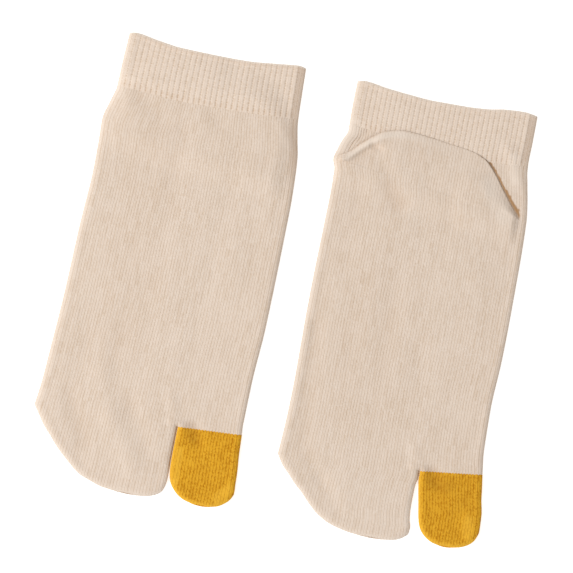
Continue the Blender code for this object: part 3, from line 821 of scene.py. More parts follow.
def body_columns(sock, sizes):
    """Stitch columns of the foot, with one of them running into the slit between the toes."""
    reach = sizes.roll / MM
    left = float(side(sock.body, "left", sock.toe_line[0].along)) + reach
    right = float(side(sock.body, "right", sock.toe_line[2].along)) - reach
    share = (sock.toe_line[1].across - left) / (right - left)
    beside_four = round(sizes.wales * share)
    four = np.linspace(0.0, share, beside_four * PER_WALE + 1)
    one = np.linspace(share, 1.0, (sizes.wales - beside_four) * PER_WALE + 1)
    shares = np.concatenate((four, one[1:]))
    return side_to_side(reach, shares, np.arange(len(shares)) / PER_WALE)


def lay(sock, columns, start, end, shares):
    """Places of rows of stitches that run from one line across the sock to another."""
    across, along = [], []
    for share in shares:
        def line(x, share=share):
            return blend(start(x), end(x), share)
        x = columns.between(meeting(sock.body, "left", line), meeting(sock.body, "right", line))
        across.append(x)
        along.append(line(x))
    return np.array(across), np.array(along)


def flat_distance(sock, across, along):
    """Distance to the edge, exactly none in the first and last columns."""
    distance = edge_distance(sock, across, along)
    distance[:, 0] = 0.0
    distance[:, -1] = 0.0
    return distance


def raise_stitches(sizes, columns, across, height, distance, course, seam):
    """Lift the knit's relief out of a surface, square to it on the rolled sides."""
    relief = stitch_height(sizes, columns.wale[None, :], course) * (1.0 + seam)
    relief = relief * quarter(distance, sizes.roll / MM)
    return across + columns.out * relief, height + columns.up * relief


def toe_seam(sock, across, along):
    """Extra relief of the joining row where the four toes' pocket begins."""
    past = (along - toe_line(sock, across)) / SEAM_WIDTH
    by_four = smoothstep((sock.toe_line[1].across - across) / SEAM_WIDTH)
    shown = smoothstep((across - SEAM_FROM) / SEAM_RISE)
    return SEAM_RELIEF * np.exp(-past ** 2) * by_four * shown


def teeth(sock, wale, across, along, distance):
    """The toothed line where the foot's stitches meet the toes' ones."""
    past = np.abs(along - toe_line(sock, across))
    reach = smoothstep(1.0 - past / TOOTH_REACH) * smoothstep(distance / TOOTH_REACH)
    return TOOTH * np.cos(2 * math.pi * wale) * reach


def soft_shade(sock, across, along, distance):
    """Share of painted shade in the dents and on the turned-down band, less the painted highlight.
    """
    return (dent_shade(sock, across, along, distance)
            + facet_shade(sock, across, along, distance)
            - painted_light_share(sock, across, along, distance, across < 0.0))


def tucked(sock, across, along, distance, on_foot):
    """Share of painted deep shade, the painted shadow in the gap beside the free rim included;
    below zero it is painted highlight.
    """
    shade = soft_shade(sock, across, along, distance)
    if sock.sole_up and not on_foot:
        width = curve_at(GAP_WIDTH, across)
        width = width * (1.0 + GAP_RAGGED * (uneven(np.floor(along / GAP_RAG), 0.0) - 0.5))
        past = pouch_edge(sock, across) - along
        near = blend(GAP_NEAR[0], 1.0, smoothstep(past / GAP_NEAR[1]))
        shade = shade + near * GAP_SHADE * smoothstep((width - past) / GAP_SOFTNESS) * (
            width > TINY_GAP)
    return np.clip(shade, -1.0, 1.0)


def courses(sizes, length):
    """A length along the sock, counted in rows of stitches."""
    return length / (sizes.course / MM)


def knit_place(columns, course):
    return np.stack((np.broadcast_to(columns.wale, course.shape), course), -1)


def inset(distance):
    """How far a wall's inner face stands in from the outer one at the sides."""
    return SIDE_WALL * WALL * np.clip(1.0 - distance / INSET_FADE, 0.0, 1.0)


def spots(across, along, height):
    """Points from their three coordinates."""
    return np.stack(np.broadcast_arrays(across, along, height), -1)


def knit_body(sock, sizes):
    """The leg and foot in one piece, its sole running on as the folded heel pouch."""
    cloth = Cloth()
    top = body_columns(sock, sizes)
    under = under_columns(sizes.roll_under / MM, sizes.wales)
    step = sizes.course / MM / ROWS_PER_COURSE

    def cuff_end(x):
        return curve_at(sock.cuff_end, x)

    def hinge(x):
        return curve_at(sock.hinge, x)

    def toes(x):
        return toe_line(sock, x)

    def heights(across, along, on_foot):
        distance = flat_distance(sock, across, along)
        reading = foot_heights if on_foot else leg_heights
        return distance, *reading(sock, sizes, across, along, distance)

    def upper(start, end, shares, on_foot):
        across, along = lay(sock, top, start, end, shares)
        distance, _, _, height = heights(across, along, on_foot)
        course = courses(sizes, along - hinge(across))
        if on_foot:
            seam = toe_seam(sock, across, along)
        else:
            above = smoothstep((hinge(across) - along) / GATHER_FADE)
            seam = strokes(sock.gathers, across, along) * above
        x, z = raise_stitches(sizes, top, across, height, distance, course, seam)
        if on_foot:
            along = along + teeth(sock, top.wale, across, along, distance)
        shade = tucked(sock, across, along, distance, on_foot)
        return spots(x, along, z), knit_place(top, course), shade

    def lower(start, end, shares, on_foot):
        across, along = lay(sock, under, start, end, shares)
        _, low, _, _ = heights(across, along, on_foot)
        course = courses(sizes, along - hinge(across))
        return spots(across, along, low), knit_place(under, course)

    def inner(columns, start, end, shares, on_foot, up):
        across, along = lay(sock, columns, start, end, shares)
        distance, _, hollow, _ = heights(across, along, on_foot)
        share = WIDEST if up < 0 else 1 - WIDEST
        reach = (sizes.roll if up > 0 else sizes.roll_under) / MM
        rise = (share * sizes.flat_height / MM - WALL) * quarter(distance, reach)
        inward = np.where(across < 0, 1.0, -1.0) * inset(edge_distance_sides(sock, across, along))
        knit = knit_place(columns, courses(sizes, along - hinge(across)))
        return spots(across + inward, along, hollow + up * rise), knit

    leg_length = float(np.mean(hinge(MIDDLE) - cuff_end(MIDDLE)))
    foot_length = float(np.mean(toes(MIDDLE) - hinge(MIDDLE)))
    leg_shares = np.linspace(0.0, 1.0, round(leg_length / step) + 1)
    foot_shares = np.linspace(0.0, 1.0, round(foot_length / step) + 1)
    leg_top = upper(cuff_end, hinge, leg_shares, False)
    foot_top = upper(hinge, toes, foot_shares, True)
    leg_low = lower(cuff_end, hinge, leg_shares, False)
    foot_low = lower(hinge, toes, foot_shares, True)
    pouch_start, pouch_end = (leg_top, foot_top) if sock.sole_up else (leg_low, foot_low)
    pouch = fold_pouch(sock, sizes, top if sock.sole_up else under,
                       pouch_start[0][-1], pouch_end[0][0])
    cloth.grid(*leg_top[:2], BAKE_LEG_TOP, tucked=leg_top[2])
    cloth.grid(*foot_top[:2], BAKE_FOOT_TOP, tucked=foot_top[2])
    cloth.grid(*leg_low, BAKE_LEG_LOW)
    cloth.grid(*foot_low, BAKE_FOOT_LOW)
    cloth.grid(*pouch[:2], BAKE_POUCH, tucked=pouch[2])
    for columns, up, box in zip((top, under), (1, -1), BAKE_BODY_INNER):
        leg = inner(columns, cuff_end, hinge, INNER_LEG_ROWS, False, up)
        foot = inner(columns, hinge, toes, INNER_FOOT_ROWS, True, up)
        outer_leg, outer_foot = (leg_top, foot_top) if up > 0 else (leg_low, foot_low)
        points = np.concatenate((outer_leg[0][:1], leg[0][:-1], foot[0], outer_foot[0][-1:]))
        knit = np.concatenate((outer_leg[1][:1], leg[1][:-1], foot[1], outer_foot[1][-1:]))
        cloth.grid(points, knit, box)
    return cloth


def fold_pouch(sock, sizes, columns, start, end):
    """The heel pouch: back from the hinge over (or under) the leg, round its rim and home."""
    left, right = sock.hinge[0], sock.hinge[-1]
    across = columns.between(left.across, right.across)
    hinge = curve_at(sock.hinge, across)
    rim = pouch_edge(sock, across)
    full = np.maximum(sizes.fold / MM * pouch_share(sock, across), THINNEST_FOLD)
    thin = curve_at(RIM_THIN, across)
    thin_reach = np.minimum(RIM_THIN_REACH, np.maximum(RIM_THIN_MOST * (hinge - rim), TINY_GAP))
    rows, knit = [start], [(columns.wale, np.zeros(len(across)))]
    shades = [np.zeros(len(across))]

    def row(share, side_up, outer):
        along = blend(rim, hinge, share)
        past = along - rim
        distance = edge_distance_sides(sock, across, along)
        grown = blend(thin, 1.0, smoothstep(past / thin_reach))
        thick = full * grown
        gap = sizes.fold_gap / MM * pouch_share(sock, across) * grown
        if sock.sole_up:
            _, _, base = leg_heights(sock, sizes, across, along, distance)
            base = base - crevice(sock, across, along, distance)
            base = base + gap + standoff(sock, sizes, across, along)
        else:
            base = WIDEST * sizes.flat_height / MM * (1 - quarter(distance,
                                                                  sizes.roll_under / MM))
        reach = curve_at(RIM_REACH, across) if outer else RIM_REACH_HIDDEN
        part = RIM_MIDDLE if side_up < 0 else 1.0 - RIM_MIDDLE
        height = base + thick * (RIM_MIDDLE + side_up * part * quarter(past, reach))
        course = courses(sizes, along - hinge)
        if sock.sole_up and outer:
            strength = curve_at(RIM_BEAD, across)
            bead = np.exp(-((past - RIM_BEAD_AT) / RIM_BEAD_WIDTH) ** 2)
            height = height + strength * bead * pouch_share(sock, across)
            height = height + POUCH_DENT * creases(sock, across, along, distance)
            relief = stitch_height(sizes, columns.wale, course) * quarter(past, reach)
            height = height + relief * pouch_share(sock, across)
            # A painted highlight on the rim's lit band, and painted shade on its edge beside the
            # gap.
            pale = curve_at(RIM_HIGHLIGHT, across)
            (rise_from, rise_to), (fall_from, fall_to) = RIM_HIGHLIGHT_FROM, RIM_HIGHLIGHT_TO
            pale = pale * smoothstep((past - rise_from) / (rise_to - rise_from)) * (
                1.0 - smoothstep((past - fall_from) / (fall_to - fall_from)))
            gaping = np.clip(curve_at(GAP_WIDTH, across), 0.0, 1.0)
            warm = RIM_SHADE * gaping * smoothstep(1.0 - past / RIM_SHADE_REACH)
            shades.append(dent_shade(sock, across, along, distance) + warm - pale
                          - painted_light_share(sock, across, along, distance, across < 0.0))
        else:
            shades.append(np.zeros(len(across)))
        return spots(across, along, height), (columns.wale, course)

    near = 1 if sock.sole_up else -1
    for share in POUCH_INNER_ROWS:
        points, place = row(share, -near, False)
        rows.append(points)
        knit.append((place[0], -place[1] + POUCH_TURN))
    for share in pouch_outer_rows(sock):
        points, place = row(share, near, sock.sole_up)
        rows.append(points)
        knit.append(place)
    rows.append(end)
    knit.append((columns.wale, np.zeros(len(across))))
    shades.append(shades[-1])
    points = np.array(rows)
    shut = (hinge - rim < TINY_GAP) | (pouch_share(sock, across) < LEAST_SHARE)
    shut[[0, -1]] = True
    points[:, shut, :] = start[shut]
    return points, np.array([np.column_stack(place) for place in knit]), np.array(shades)


def pouch_outer_rows(sock):
    """Rows from the rim to the hinge, close together where the rim turns over."""
    fine = POUCH_ROWS if sock.sole_up else POUCH_ROWS_HIDDEN
    return np.concatenate((RIM_ROWS, np.linspace(RIM_ROWS[-1], 1.0, fine)[1:-1]))


def standoff(sock, sizes, across, along):
    """Extra height of the upper pouch: over the thicker cuff, and where its rim stands free."""
    on_cuff, off_cuff = OVER_CUFF
    step = (sizes.cuff_height + sizes.rib_height - sizes.flat_height) / MM
    over_cuff = step * smoothstep((off_cuff - along) / (off_cuff - on_cuff))
    free = curve_at(RIM_LIFTED, across)
    near_rim = smoothstep(1.0 - (along - pouch_edge(sock, across)) / RIM_LIFT_LENGTH)
    return (over_cuff + sizes.rim_lift / MM * free * near_rim) * pouch_share(sock, across)


def column_ends(table, column, start):
    """How far along each stitch column runs into a pocket's rounded outline."""
    levels = np.linspace(0.0, 1.0, END_LEVELS)[:, None] * (table[-1].along - start) + start
    across = column(levels)
    clear = np.minimum(across - side(table, "left", levels), side(table, "right", levels) - across)
    inside = clear > -TINY_GAP
    last = np.maximum(len(levels) - 1 - np.argmax(inside[::-1], axis=0), 0)
    last = np.where(inside.any(axis=0), last, 0)
    after = np.minimum(last + 1, len(levels) - 1)
    pick = np.arange(len(start))
    here, there = clear[last, pick], clear[after, pick]
    part = np.where(after > last, np.clip(here / np.maximum(here - there, TINY), 0.0, 1.0), 0.0)
    end = blend(levels[last, pick], levels[after, pick], part)
    middle = (table[-1].left + table[-1].right) / 2
    half = (table[-1].right - table[-1].left) / 2
    return end + TIP_BULGE * np.where(after == last, 1 - ((column(end) - middle) / half) ** 2, 0)


def knit_pocket(sock, sizes, table, starts, wales, corners, fans):
    """A closed pocket whose stitch columns run from the toe line into its rounded outline."""
    cloth = Cloth()
    step = sizes.course / MM / ROWS_PER_COURSE
    tip = table[-1].along
    start = toe_line(sock, starts)
    start = start + teeth(sock, wales, starts, start, edge_distance(sock, starts, start))

    def edge_line(name, corner, fan, along):
        """An outline up to its corner, then straight on, leaning out by the fan."""
        return side(table, name, np.minimum(along, corner)) + fan * np.maximum(along - corner, 0)

    share = (starts - starts[0]) / (starts[-1] - starts[0])

    def column(along):
        left = edge_line("left", corners[0], fans[0], along)
        right = edge_line("right", corners[1], fans[1], along)
        return blend(left, right, share)

    end = column_ends(table, column, start)

    def laid(rows):
        along = blend(start, end, rows[:, None])
        slid = (starts - column(start)) * (1.0 - rows[:, None]) ** START_FADE
        return column(along) + slid, along

    def boundary(values, border):
        values = values.copy()
        values[-1, :] = border
        values[:, 0] = border
        values[:, -1] = border
        return values

    def knit_at(across, along):
        course = courses(sizes, along - curve_at(sock.hinge, across))
        return np.broadcast_to(wales, course.shape), course

    flat = sizes.flat_height / MM
    rows = pocket_rows(float((end - start).max()), step)
    across, along = laid(rows)
    distance = boundary(edge_distance(sock, across, along), 0.0)
    wale, course = knit_at(across, along)
    height = WIDEST * flat + (1 - WIDEST) * flat * quarter(distance, sizes.roll / MM)
    height = height + soft_form(sock, across, along, distance)
    relief = stitch_height(sizes, wale, course) * (1.0 + toe_seam(sock, across, along))
    height = height + relief * quarter(distance, sizes.roll / MM)
    height = boundary(height, WIDEST * flat)
    low = WIDEST * flat * (1 - quarter(distance, sizes.roll_under / MM))
    knit = np.stack((wale, course), -1)
    # Painted highlight along the pocket's lit side and round its tip.
    brightness = LIT_FOUR_TOES if table is sock.four_toes else LIT_BIG_TOE
    lit = np.where((share < LIT_SHARE) | (along > tip - TIP_LIT), brightness, 0.0)
    shade = (dent_shade(sock, across, along, distance) + slit_shade(sock, across, along)
             - painted_light_share(sock, across, along, distance, lit))
    cloth.grid(spots(across, along, height), knit, BAKE_POCKET_TOP, tucked=shade)
    cloth.grid(spots(across, along, low), knit, BAKE_POCKET_LOW, flip=True)
    inner_across, inner_along = laid(INNER_POCKET_ROWS)
    inner_distance = boundary(edge_distance(sock, inner_across, inner_along), 0.0)
    moved = pushed_in(sock, table, inner_across, inner_along, inner_distance)
    inner_knit = np.stack(knit_at(inner_across, inner_along), -1)
    for up, reach, outer, box in zip((1, -1), (sizes.roll, sizes.roll_under), (height, low),
                                     BAKE_POCKET_INNER):
        part = WIDEST if up < 0 else 1 - WIDEST
        rise = (part * flat - WALL) * quarter(inner_distance, reach / MM)
        inside_points = spots(moved[0], moved[1], WIDEST * flat + up * rise)
        mouth = spots(across[:1], along[:1], outer[:1])
        cloth.grid(np.concatenate((mouth, inside_points)),
                   np.concatenate((knit[:1], inner_knit)), box)
    return cloth


def pushed_in(sock, table, across, along, distance):
    """Places moved square to the outline, so that the wall keeps its thickness at the sides."""
    def depth_at(x, y):
        left, right = side(table, "left", y), side(table, "right", y)
        inside = (x > left) & (x < right) & (y < table[-1].along)
        return edge_distance(sock, x, y) * np.where(inside, 1.0, -1.0)

    slope_across = depth_at(across + PROBE, along) - depth_at(across - PROBE, along)
    slope_along = depth_at(across, along + PROBE) - depth_at(across, along - PROBE)
    size = np.maximum(np.hypot(slope_across, slope_along), TINY_GAP)
    depth = inset(distance)
    return across + depth * slope_across / size, along + depth * slope_along / size


def pocket_rows(length, step):
    """Even rows of stitches, with a few more where the toe's end turns over."""
    even = np.linspace(0.0, 1.0, round(length / step) + 1)
    return np.sort(np.concatenate((even, 1.0 - TIP_ROWS)))


def rib_columns(sizes, ribs):
    """Columns of the cuff: a plain rolled side, then the ribs."""
    shares = np.linspace(0.0, 1.0, ribs * PER_RIB + 1)
    return side_to_side(sizes.roll / MM * CUFF_ROLL, shares, np.arange(len(shares)) / PER_RIB)


def rib_valley(wale, width):
    """1 in the valley on every whole wale, falling to 0 beside it."""
    return np.exp(-(np.abs((wale + 0.5) % 1.0 - 0.5) / width) ** 2)


def rib_relief(sizes, wale, course):
    """Round ribs with a stepped valley on every whole wale."""
    valley = rib_valley(wale, RIB_VALLEY)
    step = course * RUNG + uneven(np.floor(wale + 0.5), 1.0)
    rung = RUNG_MEAN + RUNG_SWING * np.cos(2 * math.pi * step)
    size = blend(1.0 - UNEVEN, 1.0, uneven(np.floor(wale + TINY_GAP), np.floor(course)))
    return sizes.rib_height / MM * (size - valley * rung)


def knit_cuff(sock, sizes):
    """Elastic rib of one wall all round, rolled at its mouth, plain inside."""
    cloth = Cloth()
    ribs = getattr(sizes, "ribs_" + sock.name)
    top, under = rib_columns(sizes, ribs), under_columns(sizes.roll_under / MM, ribs)
    wall, flat, body_flat = (value / MM for value in
                             (sizes.cuff_wall, sizes.cuff_height, sizes.flat_height))
    radius = wall / 2
    step = sizes.course / MM / ROWS_PER_COURSE
    reach = sizes.roll / MM * CUFF_ROLL

    def section(columns, past_lip, share, depth, up):
        """One line of points across the cuff, with its place in the knit and its shade."""
        def line(x):
            return blend(curve_at(sock.mouth, x) + past_lip, curve_at(sock.cuff_end, x), share)
        across, along = lay(sock, columns, line, line, (0.0,))
        distance = edge_distance_sides(sock, across, along)
        distance[:, 0], distance[:, -1] = 0.0, 0.0
        left = curve_at(sock.cuff_end, across) - along
        lip = along - curve_at(sock.mouth, across)
        course = courses(sizes, lip)
        height = blend(body_flat, flat, smoothstep(left / CUFF_TAPER))
        middle = drape_height(sock, sizes, across, along, distance) + WIDEST * height
        if up > 0:
            outer = 1 - depth / wall
            rise = ((1 - WIDEST) * height - depth) * rounding(sock, across, along, distance, reach)
            form = soft_form(sock, across, along, distance)
            rise = rise + (form + crevice(sock, across, along, distance)) * outer
            rise = rise + outer * quarter(distance, reach) * (
                LIP_BEAD * np.exp(-((lip - LIP_AT) / LIP_WIDTH) ** 2)
                - LIP_FURROW * np.exp(-((lip - LIP_FURROW_AT) / LIP_WIDTH) ** 2))
            wale = columns.wale - ROLL_WALES
            fade = smoothstep(lip / RIB_START) * smoothstep(left / RIB_END)
            on_face = smoothstep((distance - reach * RIBS_FROM) / (reach * RIBS_RISE))
            rise = rise + rib_relief(sizes, wale, course) * fade * on_face * outer
            ticks = np.exp(-((left - TICKS_AT) / TICKS_LENGTH) ** 2) * on_face
            lip_line = np.exp(-((lip - LIP_LINE_AT) / LIP_LINE_WIDTH) ** 2)
            # Painted shade in the dents, on the right band, at the rib ends and below the mouth,
            # less the painted highlights.
            shade = (soft_shade(sock, across, along, distance)
                     + TICK_SHADE * ticks * rib_valley(wale, TICK_WIDTH)
                     + sock.lip_shade * lip_line
                     - LIP_HIGHLIGHT * smoothstep(1.0 - lip / LIP_HIGHLIGHT_REACH)) * (depth < wall)
        else:
            rise = -(WIDEST * height - depth) * quarter(distance, sizes.roll_under / MM)
            shade = np.zeros_like(across)
        inward = np.where(across < 0, 1.0, -1.0) * depth * np.clip(1 - distance / INSET_FADE, 0, 1)
        return (spots(across + inward, along, middle + rise)[0],
                np.stack((columns.wale, course[0]), -1), shade[0])

    length = float(np.mean(curve_at(sock.cuff_end, MIDDLE) - curve_at(sock.mouth, MIDDLE)))
    # Each row: how far past the lip, its share of the way down, and its depth in the wall
    rows = [(radius, share, 0.0) for share in np.linspace(1.0, 0.0, round(length / step) + 1)]
    rows += [(radius * (1 - math.sin(angle)), 0.0, radius * (1 - math.cos(angle)))
             for angle in np.radians(LIP_ANGLES)]
    rows += [(radius, share, wall) for share in INNER_CUFF_ROWS]
    for columns, up, box in zip((top, under), (1, -1), BAKE_CUFF):
        made = [section(columns, *row, up) for row in rows]
        points, knit, shade = (np.array(part) for part in zip(*made, made[0]))
        cloth.grid(points, knit, box, flip=up < 0, tucked=np.clip(shade, -1.0, 1.0))
    return cloth


def finish_piece(sock, cloth, name, slot, nodes):
    """Make a piece from its cloth, give it its yarn, attach it to the body and hide the parts it
    takes the place of.
    """
    material = made_materials(bpy.context.scene.tabi_colours)[slot]
    piece = cloth.build(sock.name + name, placed(sock))
    mesh = bmesh.new()
    mesh.from_mesh(piece.data)
    bmesh.ops.recalc_face_normals(mesh, faces=mesh.faces)
    mesh.to_mesh(piece.data)
    mesh.free()
    piece.data.shade_smooth()
    piece.data.set_sharp_from_angle(angle=SHARP)
    piece.data.materials.append(material)
    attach(piece, BODY)
    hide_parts(*[sock.name + node for node in nodes])


def round_and_long(table, start, end):
    """Widest way round a flat tube, its length, and its area, in metres."""
    levels = np.linspace(start, end, AREA_STEPS)
    width = side(table, "right", levels) - side(table, "left", levels)
    around = 2.0 * float(width.max()) * MM
    return (around, float(end - start) * MM), 2.0 * float(np.mean(width) * (end - start)) * MM ** 2


# Materials

LEG_AT, LEG_WIDTH = 0.24, 0.26      # where a loop's two legs lie beside its middle, in wales
LEG_CURL = 0.6
LEG_LOW, LEG_RISE = 0.7, 0.3
STREAK_ACROSS, STREAK_ALONG, STREAK_ROUGHNESS = 3.7, 0.3, 0.6
FUZZ = (4200.0, 3.0, 0.7)           # noise: scale, detail, roughness
FLECKS = (1100.0, 2.0, 0.6)
FLECK_LOW, FLECK_HIGH = 0.42, 0.70
DRIFT = (42.0, 3.0, 0.55)
YARN_ROUGHNESS, YARN_SPECULAR = 0.92, 0.1
BUMP_DISTANCE, BUMP_FUZZ = 0.0003, 0.5


def set_inputs(node, values):
    for name, value in values.items():
        node.inputs[name].default_value = value


class Nodes:
    """A few short ways to add and join shader nodes."""

    def __init__(self, tree):
        self.tree = tree

    def add(self, kind, **values):
        node = self.tree.nodes.new(kind)
        for name, value in values.items():
            setattr(node, name, value)
        return node

    def wire(self, value, socket):
        if isinstance(value, bpy.types.NodeSocket):
            self.tree.links.new(value, socket)
        elif value is not None:
            socket.default_value = value

    def math(self, operation, first, second=None, third=None, clamp=False):
        node = self.add("ShaderNodeMath", operation=operation, use_clamp=clamp)
        for value, socket in zip((first, second, third), node.inputs):
            self.wire(value, socket)
        return node.outputs[0]

    def smooth(self, value, low, high):
        node = self.add("ShaderNodeMapRange", interpolation_type="SMOOTHSTEP")
        self.wire(value, node.inputs["Value"])
        self.wire(low, node.inputs["From Min"])
        self.wire(high, node.inputs["From Max"])
        return node.outputs["Result"]

    def noise(self, vector, scale, detail, roughness):
        node = self.add("ShaderNodeTexNoise", noise_dimensions="3D")
        self.wire(vector, node.inputs["Vector"])
        set_inputs(node, {"Scale": scale, "Detail": detail, "Roughness": roughness})
        return node.outputs["Fac"]

    def pair(self, first, second):
        node = self.add("ShaderNodeCombineXYZ")
        self.wire(first, node.inputs[0])
        self.wire(second, node.inputs[1])
        return node.outputs[0]

    def mix(self, factor, first, second):
        node = self.add("ShaderNodeMix", data_type="RGBA", blend_type="MIX")
        self.wire(factor, node.inputs["Factor"])
        self.wire(first, node.inputs[6])
        self.wire(second, node.inputs[7])
        return node.outputs[2]


def new_group(name, inputs, outputs):
    group = bpy.data.node_groups.new(name, "ShaderNodeTree")
    for label, kind, value in inputs:
        socket = group.interface.new_socket(label, in_out="INPUT", socket_type=kind)
        if value is not None:
            socket.default_value = value
    for label, kind in outputs:
        group.interface.new_socket(label, in_out="OUTPUT", socket_type=kind)
    nodes = Nodes(group)
    return group, nodes, nodes.add("NodeGroupInput"), nodes.add("NodeGroupOutput")


def loops_group():
    """Knit stitches: each wale is a stack of small V loops with a valley on either side."""
    group, nodes, given, out = new_group(
        "knit_loops",
        (("Knit", "NodeSocketVector", None), ("Slant", "NodeSocketFloat", 0.9),
         ("Valley Start", "NodeSocketFloat", 0.3), ("Patch", "NodeSocketFloat", 0.6)),
        (("Height", "NodeSocketFloat"), ("Valley", "NodeSocketFloat"),
         ("Hole", "NodeSocketFloat"), ("Shade", "NodeSocketFloat")))
    split = nodes.add("ShaderNodeSeparateXYZ")
    nodes.wire(given.outputs["Knit"], split.inputs[0])
    wale, course = split.outputs[0], split.outputs[1]
    off = nodes.math("ABSOLUTE", nodes.math("SUBTRACT", nodes.math("FRACT", wale), 0.5))
    slid = nodes.math("ADD", course, nodes.math("MULTIPLY", off, given.outputs["Slant"]))
    wave = nodes.math("SINE", nodes.math("MULTIPLY", nodes.math("FRACT", slid), math.pi))
    leg = nodes.math("DIVIDE", nodes.math("SUBTRACT", off, LEG_AT), LEG_WIDTH)
    leg = nodes.math("SUBTRACT", 1.0, nodes.math("MULTIPLY", leg, leg), clamp=True)
    body = nodes.math("MULTIPLY_ADD", nodes.math("POWER", wave, LEG_CURL), LEG_RISE, LEG_LOW)
    nodes.wire(nodes.math("MULTIPLY", leg, body), out.inputs["Height"])
    # Valley and Hole carry painted shade between the stitch columns.
    valley = nodes.smooth(off, given.outputs["Valley Start"], 0.5)
    nodes.wire(valley, out.inputs["Valley"])
    dots = nodes.math("SUBTRACT", 1.0, wave)
    nodes.wire(nodes.math("MULTIPLY", valley, dots), out.inputs["Hole"])
    random = nodes.add("ShaderNodeTexWhiteNoise", noise_dimensions="2D")
    patch = nodes.math("MULTIPLY", slid, given.outputs["Patch"])
    cell = nodes.pair(nodes.math("FLOOR", nodes.math("MULTIPLY", wale, 2.0)),
                      nodes.math("FLOOR", patch))
    nodes.wire(cell, random.inputs["Vector"])
    stretched = nodes.pair(nodes.math("MULTIPLY", nodes.math("FLOOR", wale), STREAK_ACROSS),
                           nodes.math("MULTIPLY", course, STREAK_ALONG))
    streak = nodes.noise(stretched, 1.0, 2.0, STREAK_ROUGHNESS)
    mean = nodes.math("ADD", random.outputs["Value"], streak)
    nodes.wire(nodes.math("SUBTRACT", mean, 1.0), out.inputs["Shade"])
    return group


def yarn_group():
    """Spun yarn: fine fuzz, flecks of lighter fibre and slow drifts of tone."""
    group, nodes, given, out = new_group(
        "spun_yarn",
        (("Position", "NodeSocketVector", None),),
        (("Fuzz", "NodeSocketFloat"), ("Fleck", "NodeSocketFloat"), ("Drift", "NodeSocketFloat")))
    position = given.outputs["Position"]
    nodes.wire(nodes.noise(position, *FUZZ), out.inputs["Fuzz"])
    fleck = nodes.noise(position, *FLECKS)
    nodes.wire(nodes.smooth(fleck, FLECK_LOW, FLECK_HIGH), out.inputs["Fleck"])
    nodes.wire(nodes.noise(position, *DRIFT), out.inputs["Drift"])
    return group


def knit_material(name, groups, light, deep, look):
    """One yarn knitted up: colour from its loops and fibres, and a fine bump."""
    material = bpy.data.materials.new(name)
    material.use_nodes = True
    nodes = Nodes(material.node_tree)
    shader = material.node_tree.nodes["Principled BSDF"]
    knit = nodes.add("ShaderNodeUVMap", uv_map="knit")
    place = nodes.add("ShaderNodeTexCoord")
    loops = nodes.add("ShaderNodeGroup", node_tree=groups["loops"])
    yarn = nodes.add("ShaderNodeGroup", node_tree=groups["yarn"])
    nodes.wire(knit.outputs["UV"], loops.inputs["Knit"])
    set_inputs(loops, {"Slant": look.slant, "Valley Start": look.valley_start,
                       "Patch": look.patch})
    nodes.wire(place.outputs["Object"], yarn.inputs["Position"])
    # Depth toward the deep colour: painted shade in the valleys and holes, plus uneven tone and
    # drift.
    depth = nodes.math("MULTIPLY_ADD", loops.outputs["Valley"], look.valley, look.middle)
    depth = nodes.math("MULTIPLY_ADD", loops.outputs["Hole"], look.hole, depth)
    depth = nodes.math("MULTIPLY_ADD", loops.outputs["Shade"], look.uneven, depth)
    depth = nodes.math("MULTIPLY_ADD", nodes.math("SUBTRACT", yarn.outputs["Drift"], 0.5),
                       look.drift, depth, clamp=True)
    colour = nodes.mix(depth, (*light, 1.0), (*deep, 1.0))
    pale = nodes.math("MULTIPLY", yarn.outputs["Fleck"], look.fleck)
    colour = nodes.mix(pale, colour, (*look.fleck_colour, 1.0))
    # Painted shade mixed in by the per-point share, then painted highlight where that share is
    # below zero.
    shade = nodes.add("ShaderNodeAttribute", attribute_name="tucked")
    colour = nodes.mix(shade.outputs["Fac"], colour, (*look.tucked, 1.0))
    brushed = nodes.math("MULTIPLY", shade.outputs["Fac"], -1.0, clamp=True)
    colour = nodes.mix(brushed, colour, (*look.pale, 1.0))
    nodes.wire(colour, shader.inputs["Base Color"])
    set_inputs(shader, {"Roughness": YARN_ROUGHNESS, "Specular IOR Level": YARN_SPECULAR})
    height = nodes.math("MULTIPLY_ADD", yarn.outputs["Fuzz"], BUMP_FUZZ, loops.outputs["Height"])
    bump = nodes.add("ShaderNodeBump")
    set_inputs(bump, {"Strength": look.bump, "Distance": BUMP_DISTANCE})
    nodes.wire(height, bump.inputs["Height"])
    nodes.wire(bump.outputs["Normal"], shader.inputs["Normal"])
    return material


# The last two colours of each look are its painted shade and its painted highlight.
Look = namedtuple("Look", "slant valley_start patch middle valley hole uneven drift fleck"
                  " fleck_colour bump tucked pale")
BEIGE_FLECK, BEIGE_PAINTED_SHADE, BEIGE_PAINTED_HIGHLIGHT = ((0.73, 0.64, 0.56), (0.36, 0.20, 0.09),
                                         (0.715, 0.615, 0.525))
RIB_LOOK = Look(0.5, 0.28, 1.2, 0.04, 0.12, 1.0, 0.45, 0.30, 0.25, BEIGE_FLECK, 0.25,
                BEIGE_PAINTED_SHADE, BEIGE_PAINTED_HIGHLIGHT)
KNIT_LOOK = Look(0.9, 0.22, 0.2, 0.10, 0.42, 0.12, 0.38, 0.40, 0.35, BEIGE_FLECK, 0.40,
                 BEIGE_PAINTED_SHADE, BEIGE_PAINTED_HIGHLIGHT)
TOE_LOOK = Look(0.9, 0.20, 1.7, 0.12, 0.62, 0.30, 0.95, 0.60, 0.25, (0.70, 0.40, 0.04), 0.5,
                (0.30, 0.12, 0.01), (0.80, 0.45, 0.045))
FINISHES = {"beige_rib": "ribbed_beige_yarn", "beige_knit": "knitted_beige_yarn",
            "mustard_knit": "knitted_mustard_yarn"}


